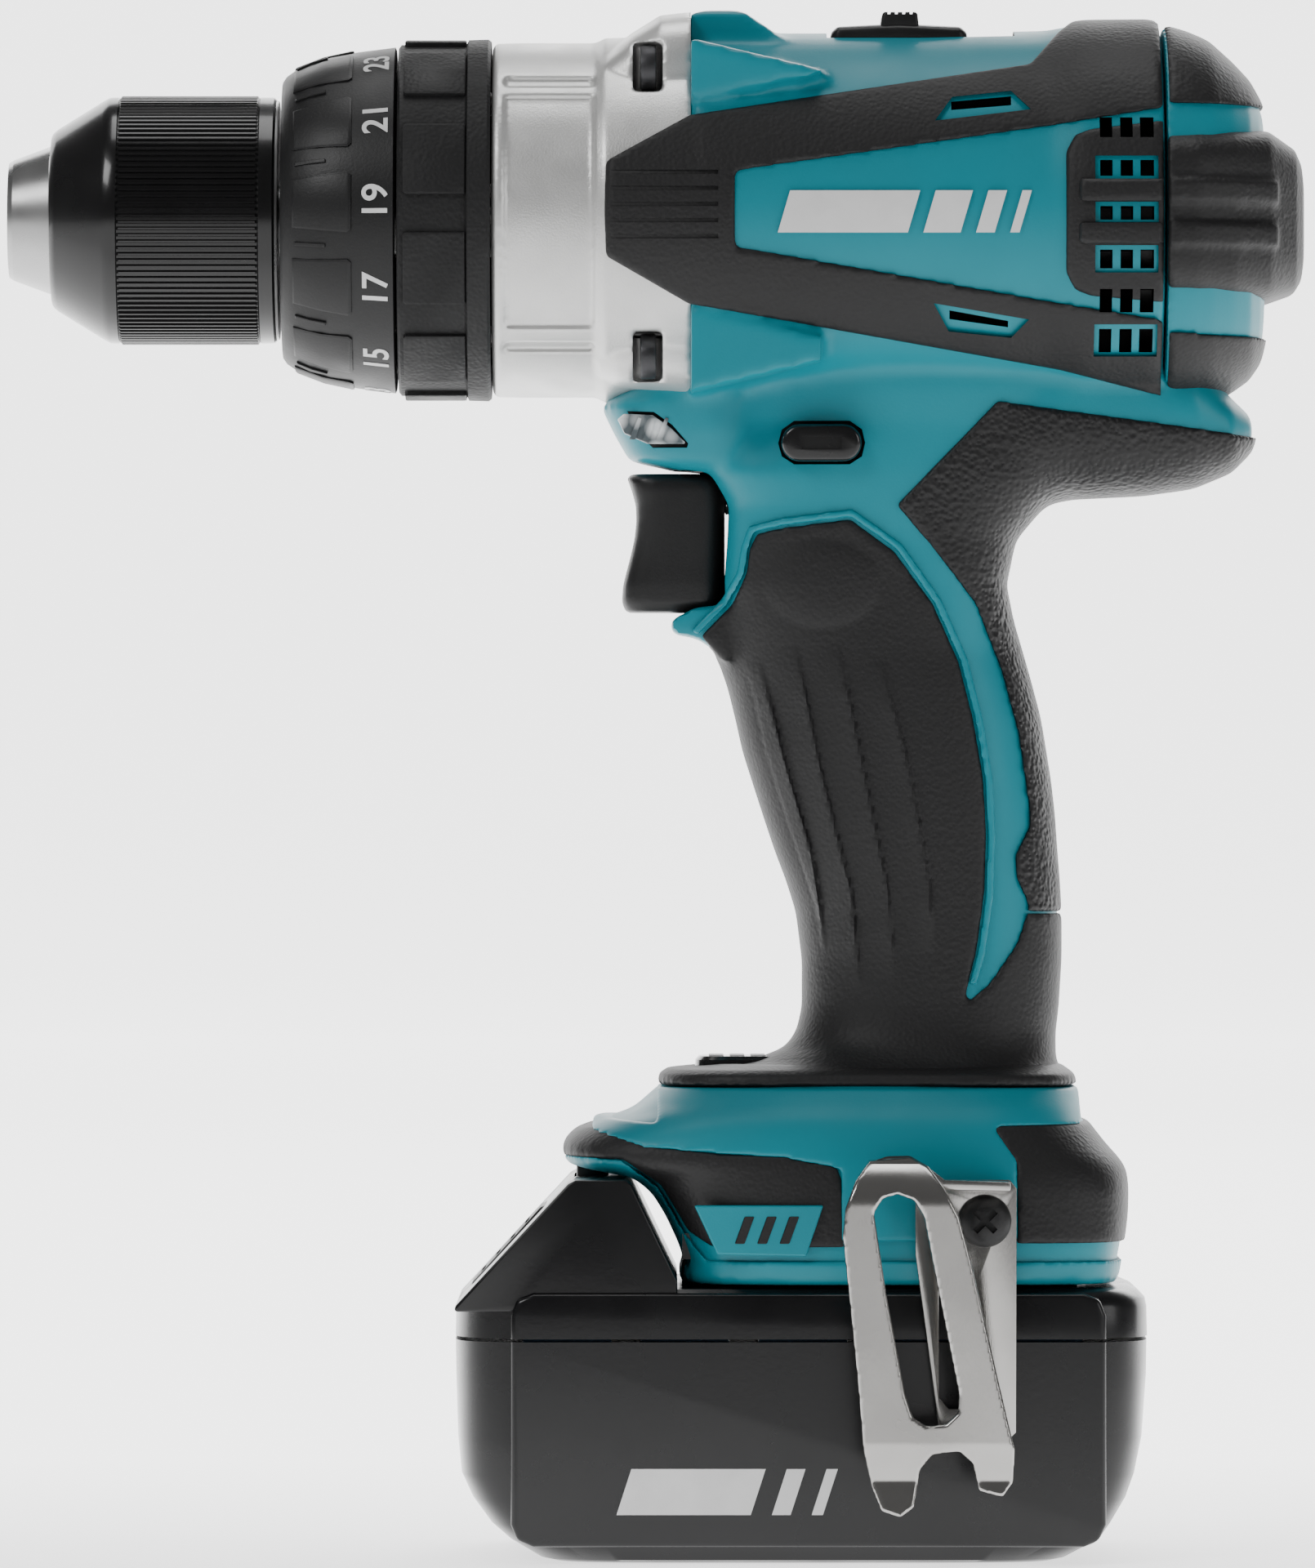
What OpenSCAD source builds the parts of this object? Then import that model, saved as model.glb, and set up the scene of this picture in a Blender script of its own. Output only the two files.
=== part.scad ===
// Cordless drill driver with a keyless chuck, two-speed planetary gearbox and slide-on battery.
// Millimetres. X runs along the spindle with the chuck at -X, Z is up, and the battery rests on Z = 0.

/* [Drive line] */
// Height of the spindle's axis above the rest plane
spindle_z = 217.8; // [205:0.2:245]
// X of the front face of the motor housing, measured from the middle of the battery
shell_x0 = -18; // [-24:1:-12]
// Length of the motor housing
shell_l = 77.5; // [74:0.5:90]
// Outer radius of the motor housing
shell_r = 31; // [30:0.5:38]
// Wall thickness of the moulded housings
shell_wall = 3; // [2:0.1:4]
// Radius of the spindle
spindle_r = 6; // [5:0.1:7]

/* [Gear housing and rings] */
// Bore radius of the gear housing, which holds the ring gears
gear_bore_r = 23.4; // [23:0.1:26]
// Wall of the gear housing around the ring gears
gear_wall = 2.6; // [2:0.1:3.5]
// Length of the bolted flange
flange_l = 15; // [12:0.5:20]
// Length of the gear housing in front of its flange
case_l = 17.2; // [15:0.2:24]
// Outer radius of the gear housing in front of its flange
case_r = 29; // [28.5:0.5:33]
// Length of the mode ring
mode_l = 15.2; // [13:0.2:20]
// Outer radius of the mode ring
mode_r = 29.7; // [29:0.1:33]
// Length of the torque ring
adjust_l = 18.8; // [18:0.2:24]

/* [Chuck] */
// Length of the chuck's sleeve
sleeve_l = 37.2; // [35:0.2:42]
// Outer radius of the chuck's sleeve
sleeve_r = 20.5; // [20.2:0.1:24]
// Length of the steel nose in front of the sleeve
nose_l = 7; // [6:0.5:10]
// Radius of the bore for the bit's shank
shank_r = 6.6; // [5.5:0.1:7]
// Radius of a jaw
jaw_r = 3.2; // [2.8:0.1:3.6]
// Angle between a jaw and the chuck's axis
jaw_angle = 17; // [15:0.5:18]

/* [Gears] */
// Module of all the gears
tooth_module = 0.8; // [0.8:0.01:0.85]
// Face width of the planet gears
planet_w = 6.6; // [5:0.1:7]
// Radius of the planet pins
planet_pin_r = 2; // [1.5:0.1:2.3]
// Backlash between meshing teeth, at the pitch circle
backlash = 0.2; // [0.12:0.01:0.3]

/* [Motor] */
// Outer radius of the motor can
can_r = 24; // [23:0.5:26]
// Radius of the armature core
core_r = 15.6; // [14:0.1:16]
// Radius of the motor shaft
shaft_r = 2.5; // [2:0.1:3]

/* [Grip] */
// Half the width of the plastic grip
grip_hw = 17.5; // [15:0.5:20]
// Thickness of the soft rubber over the grip
rubber_t = 1.3; // [1:0.1:2]
// Height of the joint between grip and foot
foot_z = 79; // [74:1:86]
// Half the width of the foot
foot_hw = 36; // [34:0.5:42]
// Travel of the trigger
trigger_travel = 7; // [5:0.5:8]
// Travel of the direction lever to each side
lever_travel = 3.5; // [2:0.5:4]
// Travel of the speed selector
shift_travel = 7; // [5:0.5:7]

/* [Battery] */
// Length of the battery
pack_l = 112.6; // [108:0.2:136]
// Half the width of the battery
pack_hw = 37.5; // [35:0.5:46]
// Height of the battery's flat deck
deck_z = 44.4; // [43:0.1:50]
// Height of the seam between the battery's two shells
seam_z = 36; // [30:0.5:40]
// Wall of the battery's shells
pack_wall = 2.4; // [2:0.1:3]
// Radius of a cell
cell_r = 9.2; // [9:0.05:9.3]
// Length of a cell
cell_l = 65; // [60:0.5:65]

/* [Fits] */
// Running clearance on radius between shafts and bores
run = 0.05; // [0.02:0.01:0.1]
// Clearance between sliding plastic pieces
slide = 0.3; // [0.3:0.05:0.5]
// Radius of the housing screws
screw_r = 1.5; // [1.25:0.05:2]

/* [Hidden] */

fine = 96;
over = 1;

// Stations along the spindle
gap = 0.3;
shell_x1 = shell_x0 + shell_l;
flange_x0 = shell_x0 - flange_l;
case_x0 = flange_x0 - case_l;
mode_x1 = case_x0 - gap;
mode_x0 = mode_x1 - mode_l;
adjust_x1 = mode_x0 - gap;
adjust_x0 = adjust_x1 - adjust_l;
chuck_x1 = adjust_x0 - 0.4;
sleeve_x0 = chuck_x1 - sleeve_l;
nose_x0 = sleeve_x0 - nose_l;
tube_x0 = adjust_x0 + 0.6;
tube_x1 = shell_x0 - 6;
tube_r = 15;
bearing_r = 11;
web_t = 3;

// Gear train, from the spindle back to the motor
teeth_sun_1 = 12;
teeth_planet_1 = 18;
teeth_sun = 18;
teeth_planet = 15;
teeth_ring = 48;
addendum = 0.8 * tooth_module;
dedendum = 1.05 * tooth_module;
pressure_angle = 25;
orbit_1 = tooth_module * (teeth_sun_1 + teeth_planet_1) / 2;
orbit = tooth_module * (teeth_sun + teeth_planet) / 2;
ring_w = planet_w + 2.4;
plate_t = 3;
carrier_r = 17.5;
ring_3_x0 = shell_x0 - 2;
ring_3_x1 = ring_3_x0 + ring_w;
planet_3_x0 = ring_3_x0 + 1;
carrier_2_x1 = ring_3_x1 + 2;
ring_2_x0 = carrier_2_x1;
ring_2_x1 = ring_2_x0 + ring_w - 1;
planet_2_x0 = ring_2_x0 + 0.5;
carrier_1_x0 = ring_2_x1 + 2;
carrier_1_x1 = carrier_1_x0 + plate_t;
ring_1_x0 = max(carrier_1_x1 + 2, ring_2_x1 + shift_travel + 0.6);
planet_1_x0 = ring_1_x0 + 0.2;
ring_1_x1 = planet_1_x0 + planet_w + 1.2;
back_plate_t = 4;
case_x1 = ring_1_x1 + back_plate_t;

// Motor, behind the gear housing
fan_x0 = case_x1 + 1.5;
fan_x1 = fan_x0 + 8;
can_x0 = fan_x1 + 1.5;
can_x1 = can_x0 + 24;
core_x0 = can_x0 + 2;
core_x1 = can_x1 - 3;
holder_x0 = can_x1 + 1;
holder_t = 2;
brush_x0 = holder_x0 + holder_t + 0.6;
brush_x1 = brush_x0 + 5;
commutator_x0 = brush_x0 - 1;
commutator_x1 = brush_x1 + 1;
commutator_r = 8;
rear_bearing_x0 = commutator_x1 + 2.5;
bearing_w = 5;
rear_bearing_r = 7;
front_bearing_r = 8;
shaft_x1 = rear_bearing_x0 + bearing_w;
cover_l = 22.6;
cover_x1 = shell_x1 + cover_l;
shell_bore_r = shell_r - shell_wall;
rib_t = 2.4;

// Grip heights are given for a grip of the nominal reach and stretch with the spindle's height
nominal_reach = 138.8;
function gz(h) = foot_z + (h - 79) * (spindle_z - foot_z) / nominal_reach;

// Foot and battery stations
foot_bottom = deck_z + 0.5;
pack_x0 = -pack_l / 2;
pack_x1 = pack_l / 2;
foot_x1 = pack_x1 - 5.5;
foot_x0 = pack_x0 + 17;
step_x = pack_x0 + 36.6;
rail_lip_z = foot_bottom + 3.5;
rail_top_z = foot_bottom + 8.5;
neck_hw = 24;
tower_hw = 28;
tower_x0 = step_x - 1;
tower_x1 = foot_x1 - 6;
deck_plate_t = 2;
blade_t = 0.8;
blade_y = [-14, -5, 5, 14];
blade_l = 14;
blade_x0 = -2;

// Chuck stations
jaw_closed_x = nose_x0 - 1.8;
jaw_tip_r = 2.2;
jaw_l = 20.5;
jaw_travel = 22.3;
sleeve_bore_r = sleeve_r - 2.1;
nut_l = 6;
nut_x0 = chuck_x1 - 14.5;
nut_seat_r = jaw_centre(nut_x0) + jaw_r / cos(jaw_angle) - 0.2;
body_r = sleeve_bore_r - 0.4;
shank_x1 = nose_x0 + 26;

// Belt clip, on the left of the foot
clip_t = 2;
clip_pad_y = -pack_hw - 0.9;
clip_y0 = clip_pad_y - clip_t;
clip_out = 12;
clip_screw_x = 29.2;
clip_screw_z = 55.4;
clip_screw_r = 2;

// ---- helpers ----

// Solid of revolution about the spindle's axis, from points [x, radius]
module turned(points, facets = fine) {
  translate([0, 0, spindle_z]) rotate([0, 90, 0])
    rotate_extrude($fn = facets) polygon([for (p = points) [p[1], p[0]]]);
}

module rod(x0, x1, r) {
  translate([x0, 0, spindle_z]) rotate([0, 90, 0]) cylinder(h = x1 - x0, r = r, $fn = fine);
}

module tube(x0, x1, r_in, r_out) {
  difference() {
    rod(x0, x1, r_out);
    rod(x0 - over, x1 + over, r_in);
  }
}

// Rod parallel to the spindle at a distance and an angle from its axis
module offset_rod(x0, x1, r, distance, angle) {
  translate([x0, 0, spindle_z]) rotate([angle, 0, 0]) translate([0, 0, -distance])
    rotate([0, 90, 0]) cylinder(h = x1 - x0, r = r, $fn = 48);
}

// Side outline of points [x, z], extruded from y0 to y1
module slab(points, y0, y1) {
  translate([0, y1, 0]) rotate([90, 0, 0]) linear_extrude(height = y1 - y0) polygon(points);
}

module block(lo, hi) {
  translate(lo) cube(hi - lo);
}

// Rod across the drill, from y0 to y1
module cross_rod(x, z, y0, y1, r) {
  translate([x, y1, z]) rotate([90, 0, 0]) cylinder(h = y1 - y0, r = r, $fn = 48);
}

function arc(cx, cz, r, a0, a1, n = 6) =
  [for (i = [0:n]) [cx + r * cos(a0 + (a1 - a0) * i / n), cz + r * sin(a0 + (a1 - a0) * i / n)]];

// Closed outline moved inwards by d along its own normals, for points that run down, right and up
function inset(p, d) = [for (i = [0:len(p) - 1])
  let (a = p[(i + len(p) - 1) % len(p)], b = p[(i + 1) % len(p)], t = b - a, l = norm(t))
  p[i] + d * [-t[1], t[0]] / l];

// ---- gear teeth ----

function polar(r, a) = [r * cos(a), r * sin(a)];
function involute(rb, r) = r <= rb ? 0 : sqrt(r * r / (rb * rb) - 1) * 180 / PI - acos(rb / r);
function half_tooth(z, r, play) =
  let (rp = tooth_module * z / 2, rb = rp * cos(pressure_angle))
  90 / z - play / (4 * rp) * 180 / PI + involute(rb, rp) - involute(rb, r);

module gear_outline(z, r_root, r_tip, play) {
  steps = 3;
  radii = [for (k = [0:steps]) r_root + (r_tip - r_root) * k / steps];
  polygon([for (i = [0:z - 1]) each concat(
    [for (k = [0:steps]) polar(radii[k], 360 * i / z - half_tooth(z, radii[k], play))],
    [for (k = [steps:-1:0]) polar(radii[k], 360 * i / z + half_tooth(z, radii[k], play))])]);
}

// External gear on the spindle's axis, with a tooth centred at the given angle
module gear(x0, width, z, angle) {
  rp = tooth_module * z / 2;
  translate([x0, 0, spindle_z]) rotate([0, 90, 0]) rotate([0, 0, angle])
    linear_extrude(height = width) gear_outline(z, rp - dedendum, rp + addendum, backlash);
}

module planet(x0, z, sun_z, distance, phi) {
  rp = tooth_module * z / 2;
  spin = phi + 180 + phi * sun_z / z + 180 / z;
  translate([x0, 0, spindle_z]) rotate([0, 90, 0]) translate(concat(polar(distance, phi), 0))
    rotate([0, 0, spin]) linear_extrude(height = planet_w) difference() {
      gear_outline(z, rp - dedendum, rp + addendum, backlash);
      circle(r = planet_pin_r + run, $fn = 48);
    }
}

module ring_gear(x0, x1, r_out, planet_z) {
  rp = tooth_module * teeth_ring / 2;
  translate([x0, 0, spindle_z]) rotate([0, 90, 0]) linear_extrude(height = x1 - x0)
    difference() {
      circle(r = r_out, $fn = fine);
      rotate([0, 0, 180 * (planet_z + 1) / teeth_ring])
        gear_outline(teeth_ring, rp - addendum, rp + dedendum, -backlash);
    }
}

module planet_pins(x0, x1, distance) {
  for (k = [0:2]) translate([x0, 0, spindle_z]) rotate([0, 90, 0])
    translate(concat(polar(distance, 120 * k), 0)) cylinder(h = x1 - x0, r = planet_pin_r, $fn = 48);
}

// ---- outlines, seen from the left: down the front, then right, then up the back ----

// Grip, from inside the motor housing down to the foot
front_top = [[-15.8, 192], [-15.8, 176.4], [-12.6, 171.2], [-12.8, 165.7], [-13.5, 158]];
finger_lip = [[-15.5, 154], [-21, 152.6], [-21.4, 150.8], [-17, 149.4]];
front_low = [[-13.4, 147], [-11.3, 141.7], [-8.8, 131.2], [-5.5, 120.7], [-1.7, 110.1], [0.6, 101],
  [0.9, 92], [-0.5, 83], [-3, 79], [-3, 74]];
grip_back = [[44, 74], [42, 79], [41.5, 89], [42.1, 99.6], [41.8, 110], [40.9, 120.7], [39.5, 131],
  [37.2, 141.7], [34.2, 152.2], [33, 157.5], [32.8, 162.8], [34, 167], [36.8, 170.3],
  [42.8, 172.8], [54, 173.6], [57, 192]];
function placed(points) = [for (p = points) [p[0], gz(p[1])]];
grip_outline = placed(concat(front_top, finger_lip, front_low, grip_back));
cavity_outline = inset(placed(concat(front_top, front_low, grip_back)), shell_wall);
// Thumb rest behind the grip
rest_outline = concat(
  placed([[40, 185.7], [40, 172], [54, 173.4], [64.5, 174.6], [70.4, 177.1], [72.9, 182.2]]),
  [[70, spindle_z - shell_r - 0.9], [shell_x1, spindle_z - shell_r - 0.9], [shell_x1, spindle_z - shell_r + 4]]);
// Chin under the gear housing, which holds the lamp
chin_outline = placed([[-18, 192], [-18, 187.3], [-32.9, 187.3], [-31, 183], [-28.3, 178.2],
  [-15, 176.7], [-12, 176.5], [-12, 192]]);
chin_cavity = placed([[-17, 190], [-17, 185.3], [-29, 185.3], [-27, 180.4], [-15, 178.7], [-10, 178.7],
  [-10, 190]]);
lens_outline = placed([[-30, 184.6], [-27.5, 181.4], [-23, 180.2], [-19.2, 180.6], [-18.8, 182],
  [-21, 184.8], [-26, 186]]);
// Foot, with the bumper over the battery's shoulder at the front
foot_drop = foot_z - 79;
foot_outline = concat(
  [for (p = [[16.1, 79], [16.1, 76], [9.7, 73.3], [5.2, 71.3], [0.8, 68.5], [0, 66.6], [1.1, 64.9],
    [10, 64.2]]) [foot_x0 + p[0], p[1] + foot_drop]],
  [[step_x - 4, deck_z + 15.5], [step_x + 0.4, deck_z + 7.4], [step_x, foot_bottom],
   [foot_x1, foot_bottom], [foot_x1, foot_bottom + 5], [foot_x1 + 1.8, foot_bottom + 8],
   [foot_x1 + 2, foot_bottom + 17]],
  [for (p = [[-2.4, 68], [-6.1, 73.3], [-6.8, 79]]) [foot_x1 + p[0], p[1] + foot_drop]]);
// Battery shoulder, under the foot's bumper
shoulder_outline = [[pack_x0, seam_z], [pack_x0, seam_z + 5.2], [foot_x0 + 1.4, 61.3],
  [foot_x0 + 3.8, 62.8], [step_x - 10, 63.4], [step_x - 4.9, deck_z + 14.9], [step_x - 0.5, deck_z + 7],
  [step_x - 0.6, deck_z]];

// ---- housing ----

boss_places = [[-9.5, 181.5], [22, 181.5], [50, 180], [5, 141], [22, 100], [10, 86]];
foot_bosses = [[-15, 68], [44, 66]];
boss_r = 3.4;

module boss_centres() {
  for (p = boss_places) translate([p[0], 0, gz(p[1])]) children();
  for (p = foot_bosses) translate([p[0], 0, p[1] + foot_drop]) children();
}

module across(y0, y1, r) {
  translate([0, y1, 0]) rotate([90, 0, 0]) cylinder(h = y1 - y0, r = r, $fn = 32);
}

module shell_outside() {
  rod(shell_x0, shell_x1, shell_r);
  slab([[shell_x0, spindle_z + 20], [shell_x0, spindle_z + 34.2], [shell_x0 + 8, spindle_z + 34.2],
    [shell_x0 + 16, spindle_z + 30], [shell_x0 + 16, spindle_z + 20]], -13, 13);
  slab(grip_outline, -grip_hw, grip_hw);
  slab(rest_outline, -grip_hw, grip_hw);
  difference() {
    slab(chin_outline, -15, 15);
    flange_room();
  }
  slab(foot_outline, -foot_hw, foot_hw);
}

// Room for the gear housing's flange above the chin and the lamp
module flange_room() {
  rod(flange_x0 - over, shell_x0, flange_r + slide);
}

// Square air vents on each side, and a long slot above and below
module vents() {
  for (s = [-1, 1]) for (row = [0:5]) for (column = [0:2])
    rotate_about_spindle(s * (90 + 14.5 * (row - 2.5)))
      block([shell_x1 - 11.6 + 4.1 * column, -1.6, -shell_r - 3], [shell_x1 - 9.4 + 4.1 * column, 1.6, -shell_bore_r + 3]);
  for (s = [-1, 1]) for (a = [55, 125])
    rotate_about_spindle(s * a) block([shell_x0 + 42, -1.1, -shell_r - 3], [shell_x0 + 51.6, 1.1, -shell_bore_r + 1]);
}

module rotate_about_spindle(angle) {
  translate([0, 0, spindle_z]) rotate([angle, 0, 0]) children();
}

module shell_inside() {
  difference() {
    union() {
      rod(shell_x0 - over, shell_x1 + over, shell_bore_r);
      difference() {
        slab(cavity_outline, shell_wall - grip_hw, grip_hw - shell_wall);
        block([-40, -50, foot_z - 3], [70, 50, foot_z - 0.5]);
      }
      slab(chin_cavity, -13, 13);
    }
    for (x = [can_x0 + 2, can_x1 - 2 - rib_t]) tube(x, x + rib_t, can_r, shell_bore_r + over);
    boss_centres() across(-grip_hw, grip_hw, boss_r);
  }
  // The foot's electronics bay, the battery's channel and the cable way between bay and grip
  difference() {
    block([step_x - 2, shell_wall - foot_hw, rail_top_z + deck_plate_t],
      [foot_x1 - 4, foot_hw - shell_wall, foot_z - 5]);
    boss_centres() across(-foot_hw, foot_hw, boss_r);
  }
  block([step_x - 8, -tower_hw - slide, rail_lip_z], [tower_x1 + 0.6, tower_hw + slide, rail_top_z]);
  block([step_x - 8, -neck_hw - slide, foot_bottom - over], [tower_x1 + 0.6, neck_hw + slide, rail_lip_z + over]);
  block([16, -9, foot_z - 8], [34, 9, foot_z + 4]);
  block([foot_x0 - over, -14, 60], [foot_x0 + 11.5, 14, 67.6 + foot_drop]);
}

module shell_cuts() {
  shell_inside();
  // Openings for the trigger, direction lever, lamp, speed selector, terminals and indicators
  block([-26, -9.5 - slide, gz(152.6)], [-4, 9.5 + slide, gz(176.4)]);
  block([-3.7, -40, gz(177.5)], [10.1, 40, gz(184.3)]);
  slab(lens_outline, -20, 20);
  block([-34, -7, gz(181.2)], [-25, 7, gz(185.2)]);
  block([selector_x0 - slide, -8 - slide, spindle_z + 20],
    [selector_x1 + shift_travel + slide, 8 + slide, spindle_z + 40]);
  block([blade_x0 - 8.2, -20.2, rail_top_z - over], [blade_x0 + blade_l + 8.2, 20.2, rail_top_z + 4]);
  block([foot_x0 + 22.6, -9, foot_z - 1], [foot_x0 + 38.6, 9, foot_z + 4]);
  vents();
}

module screw_holes(y0, y1, r) {
  boss_centres() across(y0, y1, r);
}

selector_x0 = 4.6;
selector_x1 = 27.4;
fork_x = ring_2_x0 + ring_w / 2 - 0.5;
fork_hw = 1;
fork_hw_y = 3;
groove_depth = 1;
case_back_r = gear_bore_r + gear_wall;
screw_y0 = -11;
screw_y1 = grip_hw - 3;
head_r = 2.9;

module housing_left() {
  color("darkcyan") difference() {
    union() {
      shell_outside();
      cross_rod(clip_screw_x, clip_screw_z, clip_pad_y, -foot_hw + over, 7);
    }
    shell_cuts();
    block([-90, 0, 30], [120, 60, 270]);
    screw_holes(screw_y0, over, screw_r);
    cross_rod(clip_screw_x, clip_screw_z, clip_pad_y - over, shell_wall - foot_hw + over, clip_screw_r);
  }
}

module housing_right() {
  color("darkcyan") difference() {
    shell_outside();
    shell_cuts();
    block([-90, -60, 30], [120, 0, 270]);
    screw_holes(-over, screw_y1, screw_r);
    screw_holes(screw_y1, foot_hw + over, head_r + 0.3);
  }
}

module housing_screws() {
  color("dimgray") {
    boss_centres() across(screw_y0, screw_y1, screw_r);
    boss_centres() across(screw_y1, screw_y1 + 2, head_r);
    // Two long screws that hold the rear cover on its brush holder
    for (s = [-1, 1]) {
      offset_rod(holder_x0, shell_x1 + 5, screw_r, 24.5, 90 + 45 * s);
      offset_rod(shell_x1 + 5, shell_x1 + 7, head_r, 24.5, 90 + 45 * s);
    }
  }
}

// ---- soft rubber skins ----

back_region = placed([[33, 184], [72.9, 182.2], [70.4, 177.1], [64.5, 174.6], [42.8, 172.8], [36.8, 170.3],
  [34, 167], [32.8, 162.8], [33, 157.5], [34.2, 152.2], [37.2, 141.7], [39.5, 131], [40.9, 120.7],
  [41.8, 110], [42.1, 99.6], [41.5, 89], [24, 86], [26, 100], [28, 118], [26, 134], [22, 148],
  [16, 160], [14, 170], [17, 177]]);
band_region = [[-31, 0], [-18, 11], [38, 19.6], [43, 26], [66, 26], [66, 21], [42, 9.4], [-10, 4],
  [-10, -4], [42, -10], [66, -20], [66, -30], [43, -24.6], [-18, -12]];

module rubber_side(s) {
  color([0.15, 0.15, 0.15]) {
    if (s < 0) slab(back_region, -grip_hw - rubber_t, -grip_hw);
    else slab(back_region, grip_hw, grip_hw + rubber_t);
    difference() {
      intersection() {
        tube(shell_x0 + 2, shell_x1, shell_r, shell_r + rubber_t);
        translate([0, 0, spindle_z])
          slab(band_region, s < 0 ? -shell_r - 5 : 8, s < 0 ? -8 : shell_r + 5);
      }
      slab(grip_outline, -grip_hw, grip_hw);
      slab(rest_outline, -grip_hw, grip_hw);
    }
  }
}

module grip_rubber_left() { rubber_side(-1); }
module grip_rubber_right() { rubber_side(1); }

module rear_cover() {
  wall = 2.2;
  outer = [[shell_x1, shell_r + 0.7], [shell_x1 + 7, shell_r - 0.6], [shell_x1 + 12.5, shell_r - 3.6],
    [shell_x1 + 15.5, shell_r - 9], [shell_x1 + 16.6, 15.5], [cover_x1 - 1, 11.6], [cover_x1, 6], [cover_x1, 0]];
  inner = [[cover_x1 - wall - 0.6, 0], [cover_x1 - wall - 0.6, 9], [shell_x1 + 14.2, 13.4],
    [shell_x1 + 12.6, shell_r - 9.6], [shell_x1 + 10.6, shell_r - 5.8], [shell_x1 + 6.6, shell_r - 2.9],
    [shell_x1, shell_bore_r]];
  color("darkcyan") difference() {
    union() {
      turned(concat(outer, inner));
      tube(rear_bearing_x0 - 0.6, cover_x1 - wall - 0.3, rear_bearing_r, rear_bearing_r + 2.4);
      for (s = [-1, 1]) difference() {
        offset_rod(shell_x1, shell_x1 + 5, 3.6, 24.5, 90 + 45 * s);
        offset_rod(shell_x1 - over, shell_x1 + 6, screw_r, 24.5, 90 + 45 * s);
      }
    }
    for (s = [-1, 1]) {
      offset_rod(shell_x1 + 5, cover_x1, head_r + 0.3, 24.5, 90 + 45 * s);
      offset_rod(shell_x1 - over, shell_x1 + 6, screw_r, 24.5, 90 + 45 * s);
    }
    // The thumb rest passes below
    block([shell_x1 - over, -30, spindle_z - 50], [shell_x1 + 13, 30, spindle_z - shell_r - 0.2]);
  }
}

// ---- gear housing ----

flange_r = shell_r - 1.4;
bolt_pitch_r = shell_r - 3.7;
bolt_angles = [38, 142, -38, -142];
collar_r = 25;
pin_orbit = 21.9;
pin_r = 1.35;

module gear_housing() {
  color("silver") difference() {
    union() {
      turned([[case_x1, gear_bore_r], [case_x1, gear_bore_r + gear_wall], [shell_x0, gear_bore_r + gear_wall],
        [shell_x0, flange_r], [flange_x0, flange_r], [flange_x0, case_r],
        [case_x0 + 1, case_r], [case_x0, case_r - 1], [case_x0, collar_r], [case_x0 - 4, collar_r],
        [case_x0 - 4, collar_r - 1.4], [case_x0, collar_r - 1.4], [case_x0, tube_r],
        [tube_x0, tube_r], [tube_x0, bearing_r], [tube_x1, bearing_r], [tube_x1, tube_r],
        [case_x0 + web_t, tube_r], [case_x0 + web_t, gear_bore_r]]);
      difference() {
        slab([[flange_x0, spindle_z + 16], [flange_x0, spindle_z + 30.6], [flange_x0 + 3, spindle_z + 31.6],
          [flange_x0 + 8, spindle_z + 33.6], [shell_x0, spindle_z + 34], [shell_x0, spindle_z + 16]], -17, 17);
        rod(flange_x0 - over, shell_x0 + over, case_r - 2);
      }
    }
    for (a = bolt_angles) {
      offset_rod(flange_x0 - over, shell_x0 + over, screw_r, bolt_pitch_r, a);
      offset_rod(flange_x0 - over, flange_x0 + 5, 3.3, bolt_pitch_r + 0.3, a);
    }
    for (k = [0:5]) offset_rod(case_x0 - over, case_x0 + web_t + over, pin_r + run, pin_orbit, 60 * k + 30);
    // Window for the speed selector's fork
    block([fork_x - fork_hw - slide, -fork_hw_y - slide, spindle_z + 20],
      [fork_x + fork_hw + shift_travel + slide, fork_hw_y + slide, spindle_z + 30]);
  }
}

module gear_housing_screws() {
  color("dimgray") for (a = bolt_angles) {
    offset_rod(flange_x0 + 5, shell_x0, screw_r, bolt_pitch_r, a);
    offset_rod(flange_x0 + 2.4, flange_x0 + 5, 2.8, bolt_pitch_r, a);
  }
}

module ring_gear_1() {
  color("dimgray") {
    ring_gear(ring_1_x0, ring_1_x1, gear_bore_r, teeth_planet_1);
    tube(ring_1_x1, case_x1, front_bearing_r, gear_bore_r);
  }
}

module ring_gear_3() {
  color("dimgray") ring_gear(ring_3_x0, ring_3_x1, gear_bore_r, teeth_planet);
}

module clutch_plate() {
  color("gray") {
    tube(case_x0 - 3.2, case_x0 - 1, tube_r + run, collar_r - 1.4 - run);
    for (k = [0:5]) offset_rod(case_x0 - 1, ring_3_x0, pin_r, pin_orbit, 60 * k + 30);
  }
}

spring_turns = 6;
spring_wire_r = 1.4;
spring_coil_r = 18.6;
spring_x0 = adjust_x0 + 5.2;
spring_x1 = case_x0 - 3.2;

module coil(x0, x1, coil_r, wire_r, turns, steps, sides) {
  count = turns * steps;
  length = x1 - x0 - 2 * wire_r;
  points = [for (i = [0:count]) for (j = [0:sides - 1])
    let (a = 360 * i / steps, b = 360 * j / sides, r = coil_r + wire_r * cos(b))
    [x0 + wire_r + length * i / count + wire_r * sin(b), r * cos(a), r * sin(a)]];
  sides_of = [for (i = [0:count - 1]) for (j = [0:sides - 1])
    let (k = (j + 1) % sides)
    [i * sides + j, i * sides + k, (i + 1) * sides + k, (i + 1) * sides + j]];
  caps = [[for (j = [sides - 1:-1:0]) j], [for (j = [0:sides - 1]) count * sides + j]];
  polyhedron(points, concat(sides_of, caps));
}

module clutch_spring() {
  color("slategray") translate([0, 0, spindle_z])
    coil(spring_x0, spring_x1, spring_coil_r, spring_wire_r, spring_turns, 12, 6);
}

// ---- motor ----

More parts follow.
